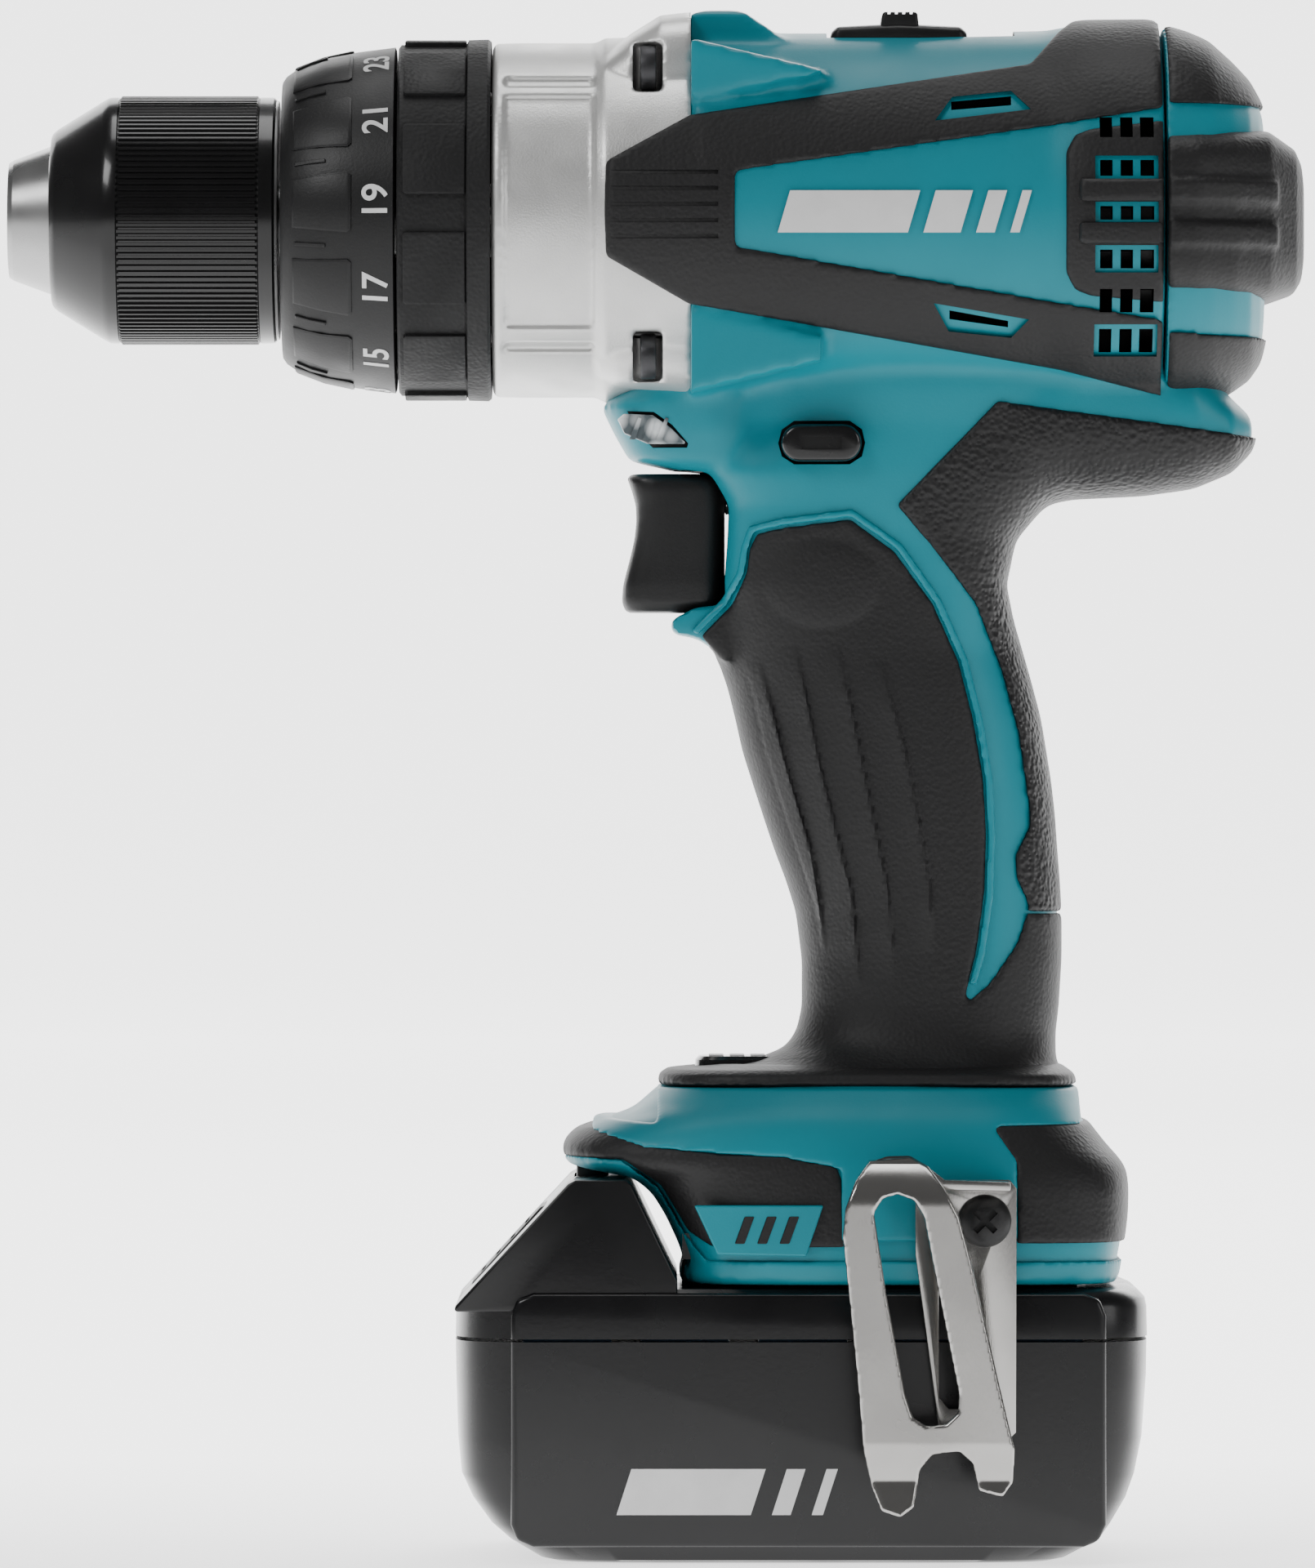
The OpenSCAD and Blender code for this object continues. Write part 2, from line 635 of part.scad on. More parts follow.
module motor_can() {
  color("gray") tube(can_x0, can_x1, can_r - 3, can_r);
}

module motor_magnets() {
  color("dimgray") difference() {
    tube(can_x0 + 2, can_x1 - 2, core_r + 0.6, can_r - 3);
    for (a = [45, 135]) rotate_about_spindle(a) block([can_x0, -2.5, -can_r], [can_x1, 2.5, can_r]);
  }
}

module brush_holder() {
  box_z = 4.4;
  color([0.2, 0.2, 0.2]) difference() {
    union() {
      tube(holder_x0, holder_x0 + holder_t, commutator_r + 2, shell_bore_r);
      for (s = [-1, 1]) block([holder_x0 + holder_t, s < 0 ? -22 : 11, spindle_z - box_z],
        [brush_x1 + 1.4, s < 0 ? -11 : 22, spindle_z + box_z]);
    }
    for (s = [-1, 1]) block([brush_x0, s < 0 ? -20 : 10, spindle_z - 3], [brush_x1, s < 0 ? -10 : 20, spindle_z + 3]);
    for (s = [-1, 1]) offset_rod(holder_x0 - over, holder_x0 + 6, screw_r, 24.5, 90 + 45 * s);
  }
}

module carbon_brushes() {
  color([0.25, 0.25, 0.25]) for (s = [-1, 1])
    block([brush_x0, s < 0 ? -17 : commutator_r + 0.1, spindle_z - 3],
      [brush_x1, s < 0 ? -commutator_r - 0.1 : 17, spindle_z + 3]);
}

module motor_bearings() {
  color("silver") {
    tube(case_x1 - bearing_w + 1, case_x1, shaft_r + run, front_bearing_r);
    tube(rear_bearing_x0, rear_bearing_x0 + bearing_w, shaft_r + run, rear_bearing_r);
  }
}

module rotor_shaft() {
  color("silver") {
    rod(planet_1_x0 + planet_w + 0.6, shaft_x1, shaft_r);
    gear(planet_1_x0 - 0.2, planet_w + 0.8, teeth_sun_1, 0);
  }
}

module rotor_core() {
  slots = 10;
  color("peru") {
    difference() {
      rod(core_x0, core_x1, core_r);
      rod(core_x0 - over, core_x1 + over, shaft_r);
      for (k = [0:slots - 1]) rotate_about_spindle(360 * k / slots)
        block([core_x0 - over, -1.1, core_r - 5], [core_x1 + over, 1.1, core_r + over]);
    }
    tube(core_x0 - 2.4, core_x0, shaft_r, core_r - 4);
    tube(core_x1, core_x1 + 2.6, shaft_r, core_r - 4);
  }
}

module commutator() {
  bars = 20;
  color("goldenrod") difference() {
    tube(commutator_x0, commutator_x1, shaft_r, commutator_r);
    for (k = [0:bars - 1]) rotate_about_spindle(360 * k / bars)
      block([commutator_x0 - over, -0.25, commutator_r - 0.7], [commutator_x1 + over, 0.25, commutator_r + over]);
  }
}

module cooling_fan() {
  blades = 9;
  blade_r = 21;
  color([0.2, 0.2, 0.2]) {
    turned([[fan_x0, shaft_r], [fan_x0, 5], [fan_x1 - 1.5, 5], [fan_x1 - 1.5, blade_r], [fan_x1, blade_r],
      [fan_x1, shaft_r]]);
    for (k = [0:blades - 1]) rotate_about_spindle(360 * k / blades)
      block([fan_x0 + 0.5, -0.6, 4.4], [fan_x1 - 1, 0.6, blade_r - 0.6]);
  }
}

// ---- planetary train ----

module carrier_1() {
  color("gray") {
    tube(carrier_1_x0, carrier_1_x1, 0.8, carrier_r - 1);
    planet_pins(carrier_1_x1, planet_1_x0 + planet_w - 0.4, orbit_1);
    gear(planet_2_x0 - 0.2, carrier_1_x0 - planet_2_x0 + 0.2, teeth_sun, 0);
  }
}

module carrier_2() {
  color("gray") {
    tube(carrier_2_x1 - 2, carrier_2_x1, 0.8, carrier_r);
    planet_pins(carrier_2_x1, planet_2_x0 + planet_w - 0.2, orbit);
    gear(planet_3_x0 - 0.2, carrier_2_x1 - 2 - planet_3_x0 + 0.2, teeth_sun, 0);
  }
}

module planet_1(k) { color("silver") planet(planet_1_x0, teeth_planet_1, teeth_sun_1, orbit_1, 120 * k); }
module planet_2(k) { color("silver") planet(planet_2_x0, teeth_planet, teeth_sun, orbit, 120 * k); }
module planet_3(k) { color("silver") planet(planet_3_x0, teeth_planet, teeth_sun, orbit, 120 * k); }

module spindle() {
  color("silver") {
    rod(chuck_x1 - 16, ring_3_x0, spindle_r);
    rod(ring_3_x0 - plate_t, ring_3_x0, carrier_r);
    planet_pins(ring_3_x0, planet_3_x0 + planet_w - 0.2, orbit);
  }
}

module spindle_bearings() {
  bearing_l = 7;
  color("silver") {
    tube(tube_x1 - bearing_l - 1, tube_x1 - 1, spindle_r + run, bearing_r);
    tube(tube_x0 + 1, tube_x0 + 1 + bearing_l, spindle_r + run, bearing_r);
  }
}

// ---- chuck ----

function jaw_centre(x) = jaw_tip_r + (x - jaw_closed_x) * tan(jaw_angle);

// Jaw along its own axis, in the closed place, for the jaw at the bottom
module jaw_rod(back, radius) {
  translate([jaw_closed_x, 0, -jaw_tip_r]) rotate([0, 90 + jaw_angle, 0])
    translate([0, 0, -1]) cylinder(h = back + 1, r = radius, $fn = 48);
}

module jaw(angle) {
  reach = 20;
  flat = 0.15;
  color("gray") rotate_about_spindle(angle)
    translate([jaw_travel * cos(jaw_angle), 0, -jaw_travel * sin(jaw_angle)]) intersection() {
      jaw_rod(jaw_l, jaw_r);
      // A jaw keeps to its third of the circle, and its front is cut square
      translate([jaw_closed_x, 0, 0]) rotate([0, 90, 0]) linear_extrude(height = jaw_l + 10)
        polygon([[flat, 0], [flat + reach * cos(60), reach * sin(60)], [reach * 2, reach * sin(60)],
          [reach * 2, -reach * sin(60)], [flat + reach * cos(60), -reach * sin(60)]]);
    }
}

module chuck_body() {
  color("silver") difference() {
    turned([[nose_x0, 0], [nose_x0, 9.4], [nose_x0 + 0.8, 9.9], [sleeve_x0 - 0.2, 12.1], [sleeve_x0 + 4, 12.1],
      [sleeve_x0 + 10, body_r], [nut_x0 - gap, body_r], [nut_x0 - gap, nut_seat_r], [nut_x0 + nut_l + gap, nut_seat_r],
      [nut_x0 + nut_l + gap, body_r], [chuck_x1 - 2.2, body_r], [chuck_x1 - 2.2, sleeve_r - 0.4],
      [chuck_x1, sleeve_r - 1], [chuck_x1, 0]]);
    rod(nose_x0 - over, shank_x1, shank_r);
    rod(shank_x1 - over, chuck_x1 + over, spindle_r);
    for (k = [0:2]) rotate_about_spindle(120 * k) jaw_rod(jaw_l + jaw_travel + 1.5, jaw_r + run);
  }
}

module chuck_screw() {
  color("dimgray") difference() {
    rod(shank_x1 + 0.2, chuck_x1 - 16, 4.4);
    rod(shank_x1 - over, shank_x1 + 1.6, 2);
  }
}

module chuck_sleeve() {
  ridges = 60;
  rim = [[sleeve_x0, 12.3], [sleeve_x0, 14], [sleeve_x0 + 1, 14.8], [sleeve_x0 + 9.3, sleeve_r - 0.4],
    [sleeve_x0 + 10.6, sleeve_r], [chuck_x1 - 2.6, sleeve_r], [chuck_x1 - 2.6, sleeve_bore_r],
    [sleeve_x0 + 10.4, sleeve_bore_r], [sleeve_x0 + 3.6, 12.4]];
  color([0.12, 0.12, 0.12]) difference() {
    turned(rim);
    for (k = [0:ridges - 1]) rotate_about_spindle(360 * k / ridges)
      block([sleeve_x0 + 11, -0.35, sleeve_r - 0.4], [chuck_x1 - 5.6, 0.35, sleeve_r + over]);
  }
}

// Threaded ring that drives the jaws, fixed in the sleeve
module jaw_nut() {
  color("goldenrod") turned([
    [nut_x0, jaw_centre(nut_x0) + jaw_r / cos(jaw_angle) + 0.12], [nut_x0, sleeve_bore_r],
    [nut_x0 + nut_l, sleeve_bore_r], [nut_x0 + nut_l, jaw_centre(nut_x0 + nut_l) + jaw_r / cos(jaw_angle) + 0.12]]);
}

module chuck_jaw_1() { jaw(0); }
module chuck_jaw_2() { jaw(120); }
module chuck_jaw_3() { jaw(240); }

// ---- rings ----

module adjusting_ring() {
  color([0.12, 0.12, 0.12]) turned([
    [adjust_x0, tube_r + 0.1], [adjust_x0, 23.2], [adjust_x0 + 1, 24.2], [adjust_x0 + 3, mode_r - 4.2],
    [adjust_x0 + 8, mode_r - 2.5], [adjust_x1, mode_r - 1.4], [adjust_x1, mode_r - 5], [adjust_x0 + 5, 22],
    [adjust_x0 + 4.6, 20.8], [adjust_x0 + 4.6, tube_r + 0.1]]);
}

module mode_ring() {
  color([0.12, 0.12, 0.12]) turned([
    [mode_x0, mode_r - 1.2], [mode_x0 + 1, mode_r], [mode_x1 - 0.6, mode_r], [mode_x1, mode_r - 0.6],
    [mode_x1, collar_r + 0.08], [mode_x1 - 3, collar_r + 0.08], [mode_x1 - 4, mode_r - 3], [mode_x0, mode_r - 3]]);
}

// ---- controls ----

trigger_outline = placed([[-29.1, 176.2], [-27.4, 171.2], [-27.6, 165.7], [-28.9, 160.1], [-29.9, 156.1],
  [-29.1, 154.2], [-19.9, 153.4], [-16.2, 154.5], [-13.9, 158], [-13.4, 165.7], [-13.2, 171],
  [-16.4, 175.9]]);
stem_z0 = gz(160);
stem_z1 = gz(168);
switch_x0 = -4;

module trigger() {
  color([0.12, 0.12, 0.12]) {
    slab(trigger_outline, -9.5, 9.5);
    block([-13.8, -4, stem_z0], [switch_x0 + 1, 4, stem_z1]);
  }
}

module trigger_spring() {
  color("silver") translate([0, 0, gz(171.4)]) coil(-13.15, switch_x0, 1.6, 0.25, 8, 10, 6);
}

module switch_body() {
  color([0.2, 0.2, 0.2]) difference() {
    block([switch_x0, -12, gz(150)], [24, 12, gz(175.4)]);
    block([switch_x0 - over, -4 - slide, stem_z0 - slide], [switch_x0 + trigger_travel + 2, 4 + slide, stem_z1 + slide]);
    boss_centres() across(-14, 14, boss_r + 0.2);
  }
}

module direction_lever() {
  lever_z0 = gz(177.8);
  lever_h = 6.2;
  hw = grip_hw + lever_travel + 0.2;
  color([0.1, 0.1, 0.1]) for (x = [lever_h / 2, 13.3 - lever_h / 2])
    cross_rod(-3.4 + x, lever_z0 + lever_h / 2, -hw, hw, lever_h / 2);
  color([0.1, 0.1, 0.1]) block([-3.4 + lever_h / 2, -hw, lever_z0], [9.9 - lever_h / 2, hw, lever_z0 + lever_h]);
}

module speed_selector() {
  plate_z = spindle_z + shell_r - 1.8;
  top_z = spindle_z + shell_r - 0.1;
  arm_z = spindle_z + case_back_r + 0.2;
  arm_t = 1.2;
  color([0.12, 0.12, 0.12]) {
    block([selector_x0, -8, plate_z], [selector_x1, 8, top_z]);
    block([12.6, -7, top_z], [19.4, 7, top_z + 2.5]);
    block([selector_x0, -fork_hw_y, arm_z], [selector_x1, fork_hw_y, plate_z]);
    block([fork_x - fork_hw, -fork_hw_y, arm_z], [selector_x0, fork_hw_y, arm_z + arm_t]);
    block([fork_x - fork_hw, -fork_hw_y, spindle_z + gear_bore_r - groove_depth + 0.2],
      [fork_x + fork_hw, fork_hw_y, arm_z]);
  }
}

// The shift ring slides inside the gear housing with the selector
module ring_gear_2() {
  color("dimgray") difference() {
    ring_gear(ring_2_x0, ring_2_x1, gear_bore_r - 0.1, teeth_planet);
    tube(fork_x - fork_hw, fork_x + fork_hw, gear_bore_r - groove_depth, gear_bore_r + over);
  }
}

// ---- foot ----

module terminal_block() {
  color([0.15, 0.15, 0.15]) block([blade_x0 - 8, -20, rail_top_z + 0.2], [blade_x0 + blade_l + 8, 20, rail_top_z + 8]);
  color("goldenrod") for (y = blade_y)
    block([blade_x0, y - blade_t / 2, rail_lip_z], [blade_x0 + blade_l, y + blade_t / 2, rail_top_z + 0.2]);
}

module led_lens() {
  color("white") difference() {
    union() {
      slab(lens_outline, -15.1, 15.1);
      block([-30.8, -7, gz(181.2)], [-25, 7, gz(185.2)]);
    }
    flange_room();
  }
}

module indicator_panel() {
  color([0.1, 0.1, 0.1]) block([foot_x0 + 22.6, -9, foot_z - 1], [foot_x0 + 38.6, 9, foot_z + 1.7]);
}

clip_back = [[21.8, 60.4], [26, 62.2], [33, 60], [34.3, 54], [34.3, 22], [31.5, 19.2], [24.6, 19.2], [21.8, 22]];
clip_front = [[6.2, 59.5], [9, 64.4], [17, 66], [22, 62], [25, 56], [28, 42], [33.4, 18.6], [30, 12], [22, 17.5],
  [16, 11], [11, 14.4], [9, 36], [7.6, 50]];
clip_fold = [[8, 64.4], [17, 66], [26, 62.2], [33, 60], [32, 57], [20, 59.5], [8, 60.6]];

module belt_clip() {
  y_out = clip_y0 - clip_out;
  color("silver") {
    difference() {
      slab(clip_back, clip_y0, clip_pad_y);
      cross_rod(clip_screw_x, clip_screw_z, clip_y0 - over, clip_pad_y + over, clip_screw_r + 0.1);
      block([25.6, clip_y0 - over, 24], [30, clip_pad_y + over, 45]);
    }
    difference() {
      slab(clip_front, y_out, y_out + clip_t);
      slab([[11, 57], [17, 57], [21, 40], [24.5, 24], [18.2, 24], [14.4, 38]], y_out - over, y_out + clip_t + over);
    }
    difference() {
      slab(clip_fold, y_out + clip_t, clip_y0);
      cross_rod(clip_screw_x, clip_screw_z, y_out, clip_y0 + over, 5.4);
    }
  }
}

module belt_clip_screw() {
  color([0.1, 0.1, 0.1]) difference() {
    union() {
      cross_rod(clip_screw_x, clip_screw_z, clip_y0, shell_wall - foot_hw, clip_screw_r);
      cross_rod(clip_screw_x, clip_screw_z, clip_y0 - 2.6, clip_y0, 4.25);
    }
    for (a = [45, 135]) translate([clip_screw_x, clip_y0 - 2.6, clip_screw_z]) rotate([0, a, 0])
      block([-2.6, -over, -0.55], [2.6, 1.4, 0.55]);
  }
}

// ---- battery ----

pack_outline = concat(
  [[pack_x0, seam_z], [pack_x0 + 1, 12]], [[pack_x0 + 3.6, 8.5], [pack_x0 + 9.4, 3.4], [pack_x0 + 15, 0],
   [pack_x1 - 14, 0], [pack_x1 - 7.6, 4.5], [pack_x1 - 3.6, 10.1], [pack_x1 - 1.4, 18], [pack_x1, seam_z]]);

module battery_case_lower() {
  inner = [[pack_x0 + pack_wall, seam_z + over], [pack_x0 + pack_wall + 0.8, 12], [pack_x0 + 12, pack_wall],
    [pack_x1 - 10.6, pack_wall], [pack_x1 - pack_wall - 1.4, 12], [pack_x1 - pack_wall, seam_z + over]];
  color([0.1, 0.1, 0.1]) difference() {
    slab(pack_outline, -pack_hw, pack_hw);
    slab(inner, pack_wall - pack_hw, pack_hw - pack_wall);
  }
}

latch_x0 = foot_x0 + 2.6;
latch_x1 = latch_x0 + 5;
latch_hw = 11;
latch_travel = 4;

module battery_case_upper() {
  color([0.1, 0.1, 0.1]) difference() {
    union() {
      slab(concat(shoulder_outline, [[pack_x1 - 3, deck_z], [pack_x1 - 0.6, deck_z - 2.4], [pack_x1, seam_z]]),
        -pack_hw, pack_hw);
      block([tower_x0, -neck_hw, deck_z - over], [tower_x1, neck_hw, rail_lip_z + 0.4]);
      block([tower_x0, -tower_hw, rail_lip_z + 0.4], [tower_x1, tower_hw, rail_top_z - 0.4]);
    }
    // Room for the cells, the board and the latch
    block([pack_x0 + pack_wall, pack_wall - pack_hw, seam_z - over],
      [pack_x1 - pack_wall, pack_hw - pack_wall, deck_z - pack_wall]);
    block([tower_x0 + 4, 4 - neck_hw, deck_z - pack_wall - over], [tower_x1 - 3, neck_hw - 4, rail_top_z - 4]);
    slab([[pack_x0 + 3.6, deck_z - 4], [pack_x0 + 4.2, seam_z + 6.6], [foot_x0 + 2.4, 58.2], [foot_x0 + 6.4, 59.4],
      [step_x - 9, 59.4], [step_x - 6.4, 54], [step_x - 6.4, deck_z - 4]], -latch_hw - 3, latch_hw + 3);
    // Slots for the terminal blades, open at the rear
    for (y = blade_y) block([blade_x0 - 1, y - 1.2, rail_lip_z - 1], [tower_x1 + over, y + 1.2, rail_top_z]);
    // Hook slot in the shoulder's top and window for the button on its slope
    block([latch_x0 - slide, -latch_hw - slide, 57], [latch_x1 + slide, latch_hw + slide, 66]);
    slab([[pack_x0 + 1, seam_z + 3.4], [foot_x0 - 5, 60], [foot_x0 - 0.8, 56.4], [foot_x0 - 0.8, 50],
      [pack_x0 + 8, seam_z + 2]], -latch_hw - slide, latch_hw + slide);
  }
}

module battery_latch() {
  slope = (61.3 - seam_z - 5.2) / (foot_x0 + 1.4 - pack_x0);
  rise = [for (x = [pack_x0 + 3, foot_x0 - 6]) seam_z + 5.2 + slope * (x - pack_x0)];
  color([0.15, 0.15, 0.15]) {
    block([latch_x0, -latch_hw + 1, 52], [latch_x1, latch_hw - 1, 65.4]);
    slab([[pack_x0 + 5, rise[0] + 1.6], [foot_x0 - 4.6, rise[1] + 1.9], [foot_x0 - 2.6, 53], [latch_x0, 52.8],
      [latch_x0, 49.4], [foot_x0 - 6, 49.4], [pack_x0 + 7.8, rise[0] - 0.6]], -latch_hw + 0.6, latch_hw - 0.6);
  }
}

module latch_spring() {
  color("silver") for (s = [-1, 1])
    translate([latch_x0 + 2, 6 * s, 0]) rotate([0, -90, 0]) coil(deck_z - 0.5, 52, 1.8, 0.3, 5, 10, 6);
}

module battery_cells() {
  rows = 5;
  pitch = 2 * cell_r + 0.6;
  color("steelblue") for (i = [0:rows - 1]) for (j = [0, 1])
    translate([(i - (rows - 1) / 2) * pitch, cell_l / 2, pack_wall + cell_r + j * 2 * cell_r])
      rotate([90, 0, 0]) cylinder(h = cell_l, r = cell_r, $fn = 48);
}

module battery_board() {
  color("seagreen") block([tower_x0 + 6, -18, pack_wall + 4 * cell_r], [tower_x1 - 8, 18, pack_wall + 4 * cell_r + 1.6]);
  color("goldenrod") for (y = blade_y) for (s = [-1, 1])
    block([blade_x0 + 1, y + s * 0.9 - 0.25, pack_wall + 4 * cell_r + 1.6], [blade_x0 + blade_l - 1, y + s * 0.9 + 0.25, rail_lip_z + 1]);
}

housing_left();
housing_right();
grip_rubber_left();
grip_rubber_right();
rear_cover();
housing_screws();
gear_housing();
gear_housing_screws();
ring_gear_1();
ring_gear_3();
motor_can();
motor_magnets();
brush_holder();
carbon_brushes();
motor_bearings();
spindle_bearings();
switch_body();
terminal_block();
led_lens();
belt_clip();
belt_clip_screw();
indicator_panel();
clutch_spring();
clutch_plate();
trigger();
trigger_spring();
direction_lever();
speed_selector();
ring_gear_2();
adjusting_ring();
mode_ring();
spindle();
chuck_body();
chuck_screw();
chuck_sleeve();
jaw_nut();
chuck_jaw_1();
chuck_jaw_2();
chuck_jaw_3();
rotor_shaft();
rotor_core();
commutator();
cooling_fan();
carrier_1();
carrier_2();
planet_1(0);  // planet_1a
planet_1(1);  // planet_1b
planet_1(2);  // planet_1c
planet_2(0);  // planet_2a
planet_2(1);  // planet_2b
planet_2(2);  // planet_2c
planet_3(0);  // planet_3a
planet_3(1);  // planet_3b
planet_3(2);  // planet_3c
battery_case_lower();
battery_case_upper();
battery_cells();
battery_board();
battery_latch();
latch_spring();
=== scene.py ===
import math
import bpy
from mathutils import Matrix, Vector


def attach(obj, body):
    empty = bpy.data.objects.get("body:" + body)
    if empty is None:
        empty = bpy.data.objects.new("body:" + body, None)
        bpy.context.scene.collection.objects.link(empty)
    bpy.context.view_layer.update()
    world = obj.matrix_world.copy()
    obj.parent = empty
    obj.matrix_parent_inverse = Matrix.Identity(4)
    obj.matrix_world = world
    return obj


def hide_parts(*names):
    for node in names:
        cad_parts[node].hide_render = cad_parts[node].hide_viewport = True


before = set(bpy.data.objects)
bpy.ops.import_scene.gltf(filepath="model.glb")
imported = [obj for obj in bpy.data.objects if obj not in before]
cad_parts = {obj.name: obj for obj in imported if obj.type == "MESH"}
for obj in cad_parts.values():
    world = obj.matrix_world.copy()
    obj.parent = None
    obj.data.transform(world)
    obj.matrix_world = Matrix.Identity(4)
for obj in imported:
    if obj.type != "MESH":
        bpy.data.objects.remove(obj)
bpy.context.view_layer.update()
mm = 0.001
spindleHeight = 217.8
spindleZ = spindleHeight * mm
# Cutters and outlines are pushed across to this far on each side, well past the drill
wide = 45
# Voxels of the remeshed pieces, in millimetres, and steps of a fine lathe
skinVoxel, trimVoxel, coverVoxel = 0.55, 0.45, 0.8
fineTurn = 160
# Edges sharper than these angles stay crisp on soft, cast and turned pieces
softAngle, castAngle, crispAngle = 50, 40, 30
print("frame loaded")

# A long lens looking straight at the side with the belt clip
cameraSetup = {"x": -23.4, "z": 125.6, "distance": 2.2, "height": 0.2566, "sensor": 36, "clipEnd": 20}


def addCamera(setup):
    bpy.ops.object.camera_add(location=(setup["x"] * mm, -setup["distance"], setup["z"] * mm),
        rotation=(math.pi / 2, 0, 0))
    camera = bpy.context.object
    camera.name = "camera"
    camera.data.sensor_width = setup["sensor"]
    camera.data.lens = setup["sensor"] * setup["distance"] / setup["height"]
    camera.data.clip_end = setup["clipEnd"]
    bpy.context.scene.camera = camera


addCamera(cameraSetup)


def clearSelection():
    if bpy.context.object and bpy.context.object.mode != "OBJECT":
        bpy.ops.object.mode_set(mode="OBJECT")
    bpy.ops.object.select_all(action="DESELECT")


def pick(piece):
    clearSelection()
    piece.select_set(True)
    bpy.context.view_layer.objects.active = piece
    return piece


def named(name):
    piece = bpy.context.object
    piece.name = name
    piece.data.name = name
    return piece


def settle(piece):
    pick(piece)
    bpy.ops.object.transform_apply(location=True, rotation=True, scale=True)
    return piece


def startEdit():
    bpy.ops.object.mode_set(mode="EDIT")
    bpy.ops.mesh.select_all(action="SELECT")


def endEdit(outwards=True):
    # The faces turn outwards before edit mode is left
    if outwards:
        bpy.ops.mesh.select_all(action="SELECT")
        bpy.ops.mesh.normals_make_consistent(inside=False)
    bpy.ops.object.mode_set(mode="OBJECT")


def tidyMesh(piece, distance=0.00001):
    # Merge the seams and poles
    pick(piece)
    startEdit()
    bpy.ops.mesh.remove_doubles(threshold=distance)
    bpy.ops.mesh.dissolve_degenerate(threshold=distance / 5)
    endEdit()
    return piece


def copyOf(piece, name):
    pick(piece)
    bpy.ops.object.duplicate()
    return named(name)


def joined(pieces, name):
    clearSelection()
    for piece in pieces:
        piece.select_set(True)
    bpy.context.view_layer.objects.active = pieces[0]
    bpy.ops.object.join()
    return named(name)


def remove(piece):
    bpy.data.objects.remove(piece, do_unlink=True)


def boolean(piece, other, how, keep=False):
    pick(piece)
    step = piece.modifiers.new("boolean", "BOOLEAN")
    step.operation, step.object, step.solver = how, other, "MANIFOLD"
    step.material_mode = "TRANSFER"
    before = len(piece.data.vertices)
    bpy.ops.object.modifier_apply(modifier=step.name)
    if len(piece.data.vertices) in (0, before):
        print("no change from", how, piece.name, other.name)
    if not keep:
        remove(other)
    return piece


def cut(piece, other):
    return boolean(piece, other, "DIFFERENCE")


def remesh(piece, voxel, passes):
    pick(piece)
    step = piece.modifiers.new("remesh", "REMESH")
    step.mode, step.voxel_size, step.use_smooth_shade = "VOXEL", voxel * mm, True
    bpy.ops.object.modifier_apply(modifier=step.name)
    if passes:
        step = piece.modifiers.new("smooth", "SMOOTH")
        step.factor, step.iterations = 0.5, passes
        bpy.ops.object.modifier_apply(modifier=step.name)
    return piece


def inflate(piece, amount):
    pick(piece)
    step = piece.modifiers.new("displace", "DISPLACE")
    step.mid_level, step.strength = 0, amount * mm
    bpy.ops.object.modifier_apply(modifier=step.name)
    return piece


def bevel(piece, width, segments=2, angle=40):
    pick(piece)
    step = piece.modifiers.new("bevel", "BEVEL")
    step.width, step.segments, step.limit_method = width * mm, segments, "ANGLE"
    step.angle_limit = math.radians(angle)
    bpy.ops.object.modifier_apply(modifier=step.name)
    return piece


def smoothShade(piece, angle=35):
    pick(piece)
    bpy.ops.object.shade_smooth_by_angle(angle=math.radians(angle))
    return piece


def prism(name, outline, near, far):
    # A filled ring of points in the side view, pushed across from near to far
    clearSelection()
    bpy.ops.mesh.primitive_circle_add(vertices=len(outline), radius=0.01, fill_type="NGON")
    piece = named(name)
    for vertex, (x, z) in zip(piece.data.vertices, outline):
        vertex.co = (x * mm, near * mm, z * mm)
    startEdit()
    bpy.ops.mesh.extrude_region_move(TRANSFORM_OT_translate={"value": (0, (far - near) * mm, 0)})
    endEdit()
    return piece


def box(name, low, high):
    clearSelection()
    bpy.ops.mesh.primitive_cube_add(size=1)
    piece = named(name)
    piece.location = [(a + b) / 2 * mm for a, b in zip(low, high)]
    piece.scale = [(b - a) * mm for a, b in zip(low, high)]
    return settle(piece)


def rodAlong(name, centre, radius, near, far, axis="X", sides=32):
    clearSelection()
    bpy.ops.mesh.primitive_cylinder_add(vertices=sides, radius=radius * mm, depth=(far - near) * mm)
    piece = named(name)
    middle = (near + far) / 2 * mm
    if axis == "X":
        piece.rotation_euler = (0, math.pi / 2, 0)
        piece.location = (middle, centre[0] * mm, centre[1] * mm)
    elif axis == "Y":
        piece.rotation_euler = (math.pi / 2, 0, 0)
        piece.location = (centre[0] * mm, middle, centre[1] * mm)
    else:
        piece.location = (centre[0] * mm, centre[1] * mm, middle)
    return settle(piece)


def lathe(name, profile, steps=144):
    # A closed ring of [x, radius] points spun round the spindle
    clearSelection()
    bpy.ops.mesh.primitive_circle_add(vertices=len(profile), radius=0.01)
    piece = named(name)
    for vertex, (x, r) in zip(piece.data.vertices, profile):
        vertex.co = (x * mm, 0, spindleZ + r * mm)
    startEdit()
    bpy.ops.mesh.spin(steps=steps, angle=2 * math.pi, center=(0, 0, spindleZ), axis=(1, 0, 0))
    endEdit(outwards=False)
    return tidyMesh(piece)


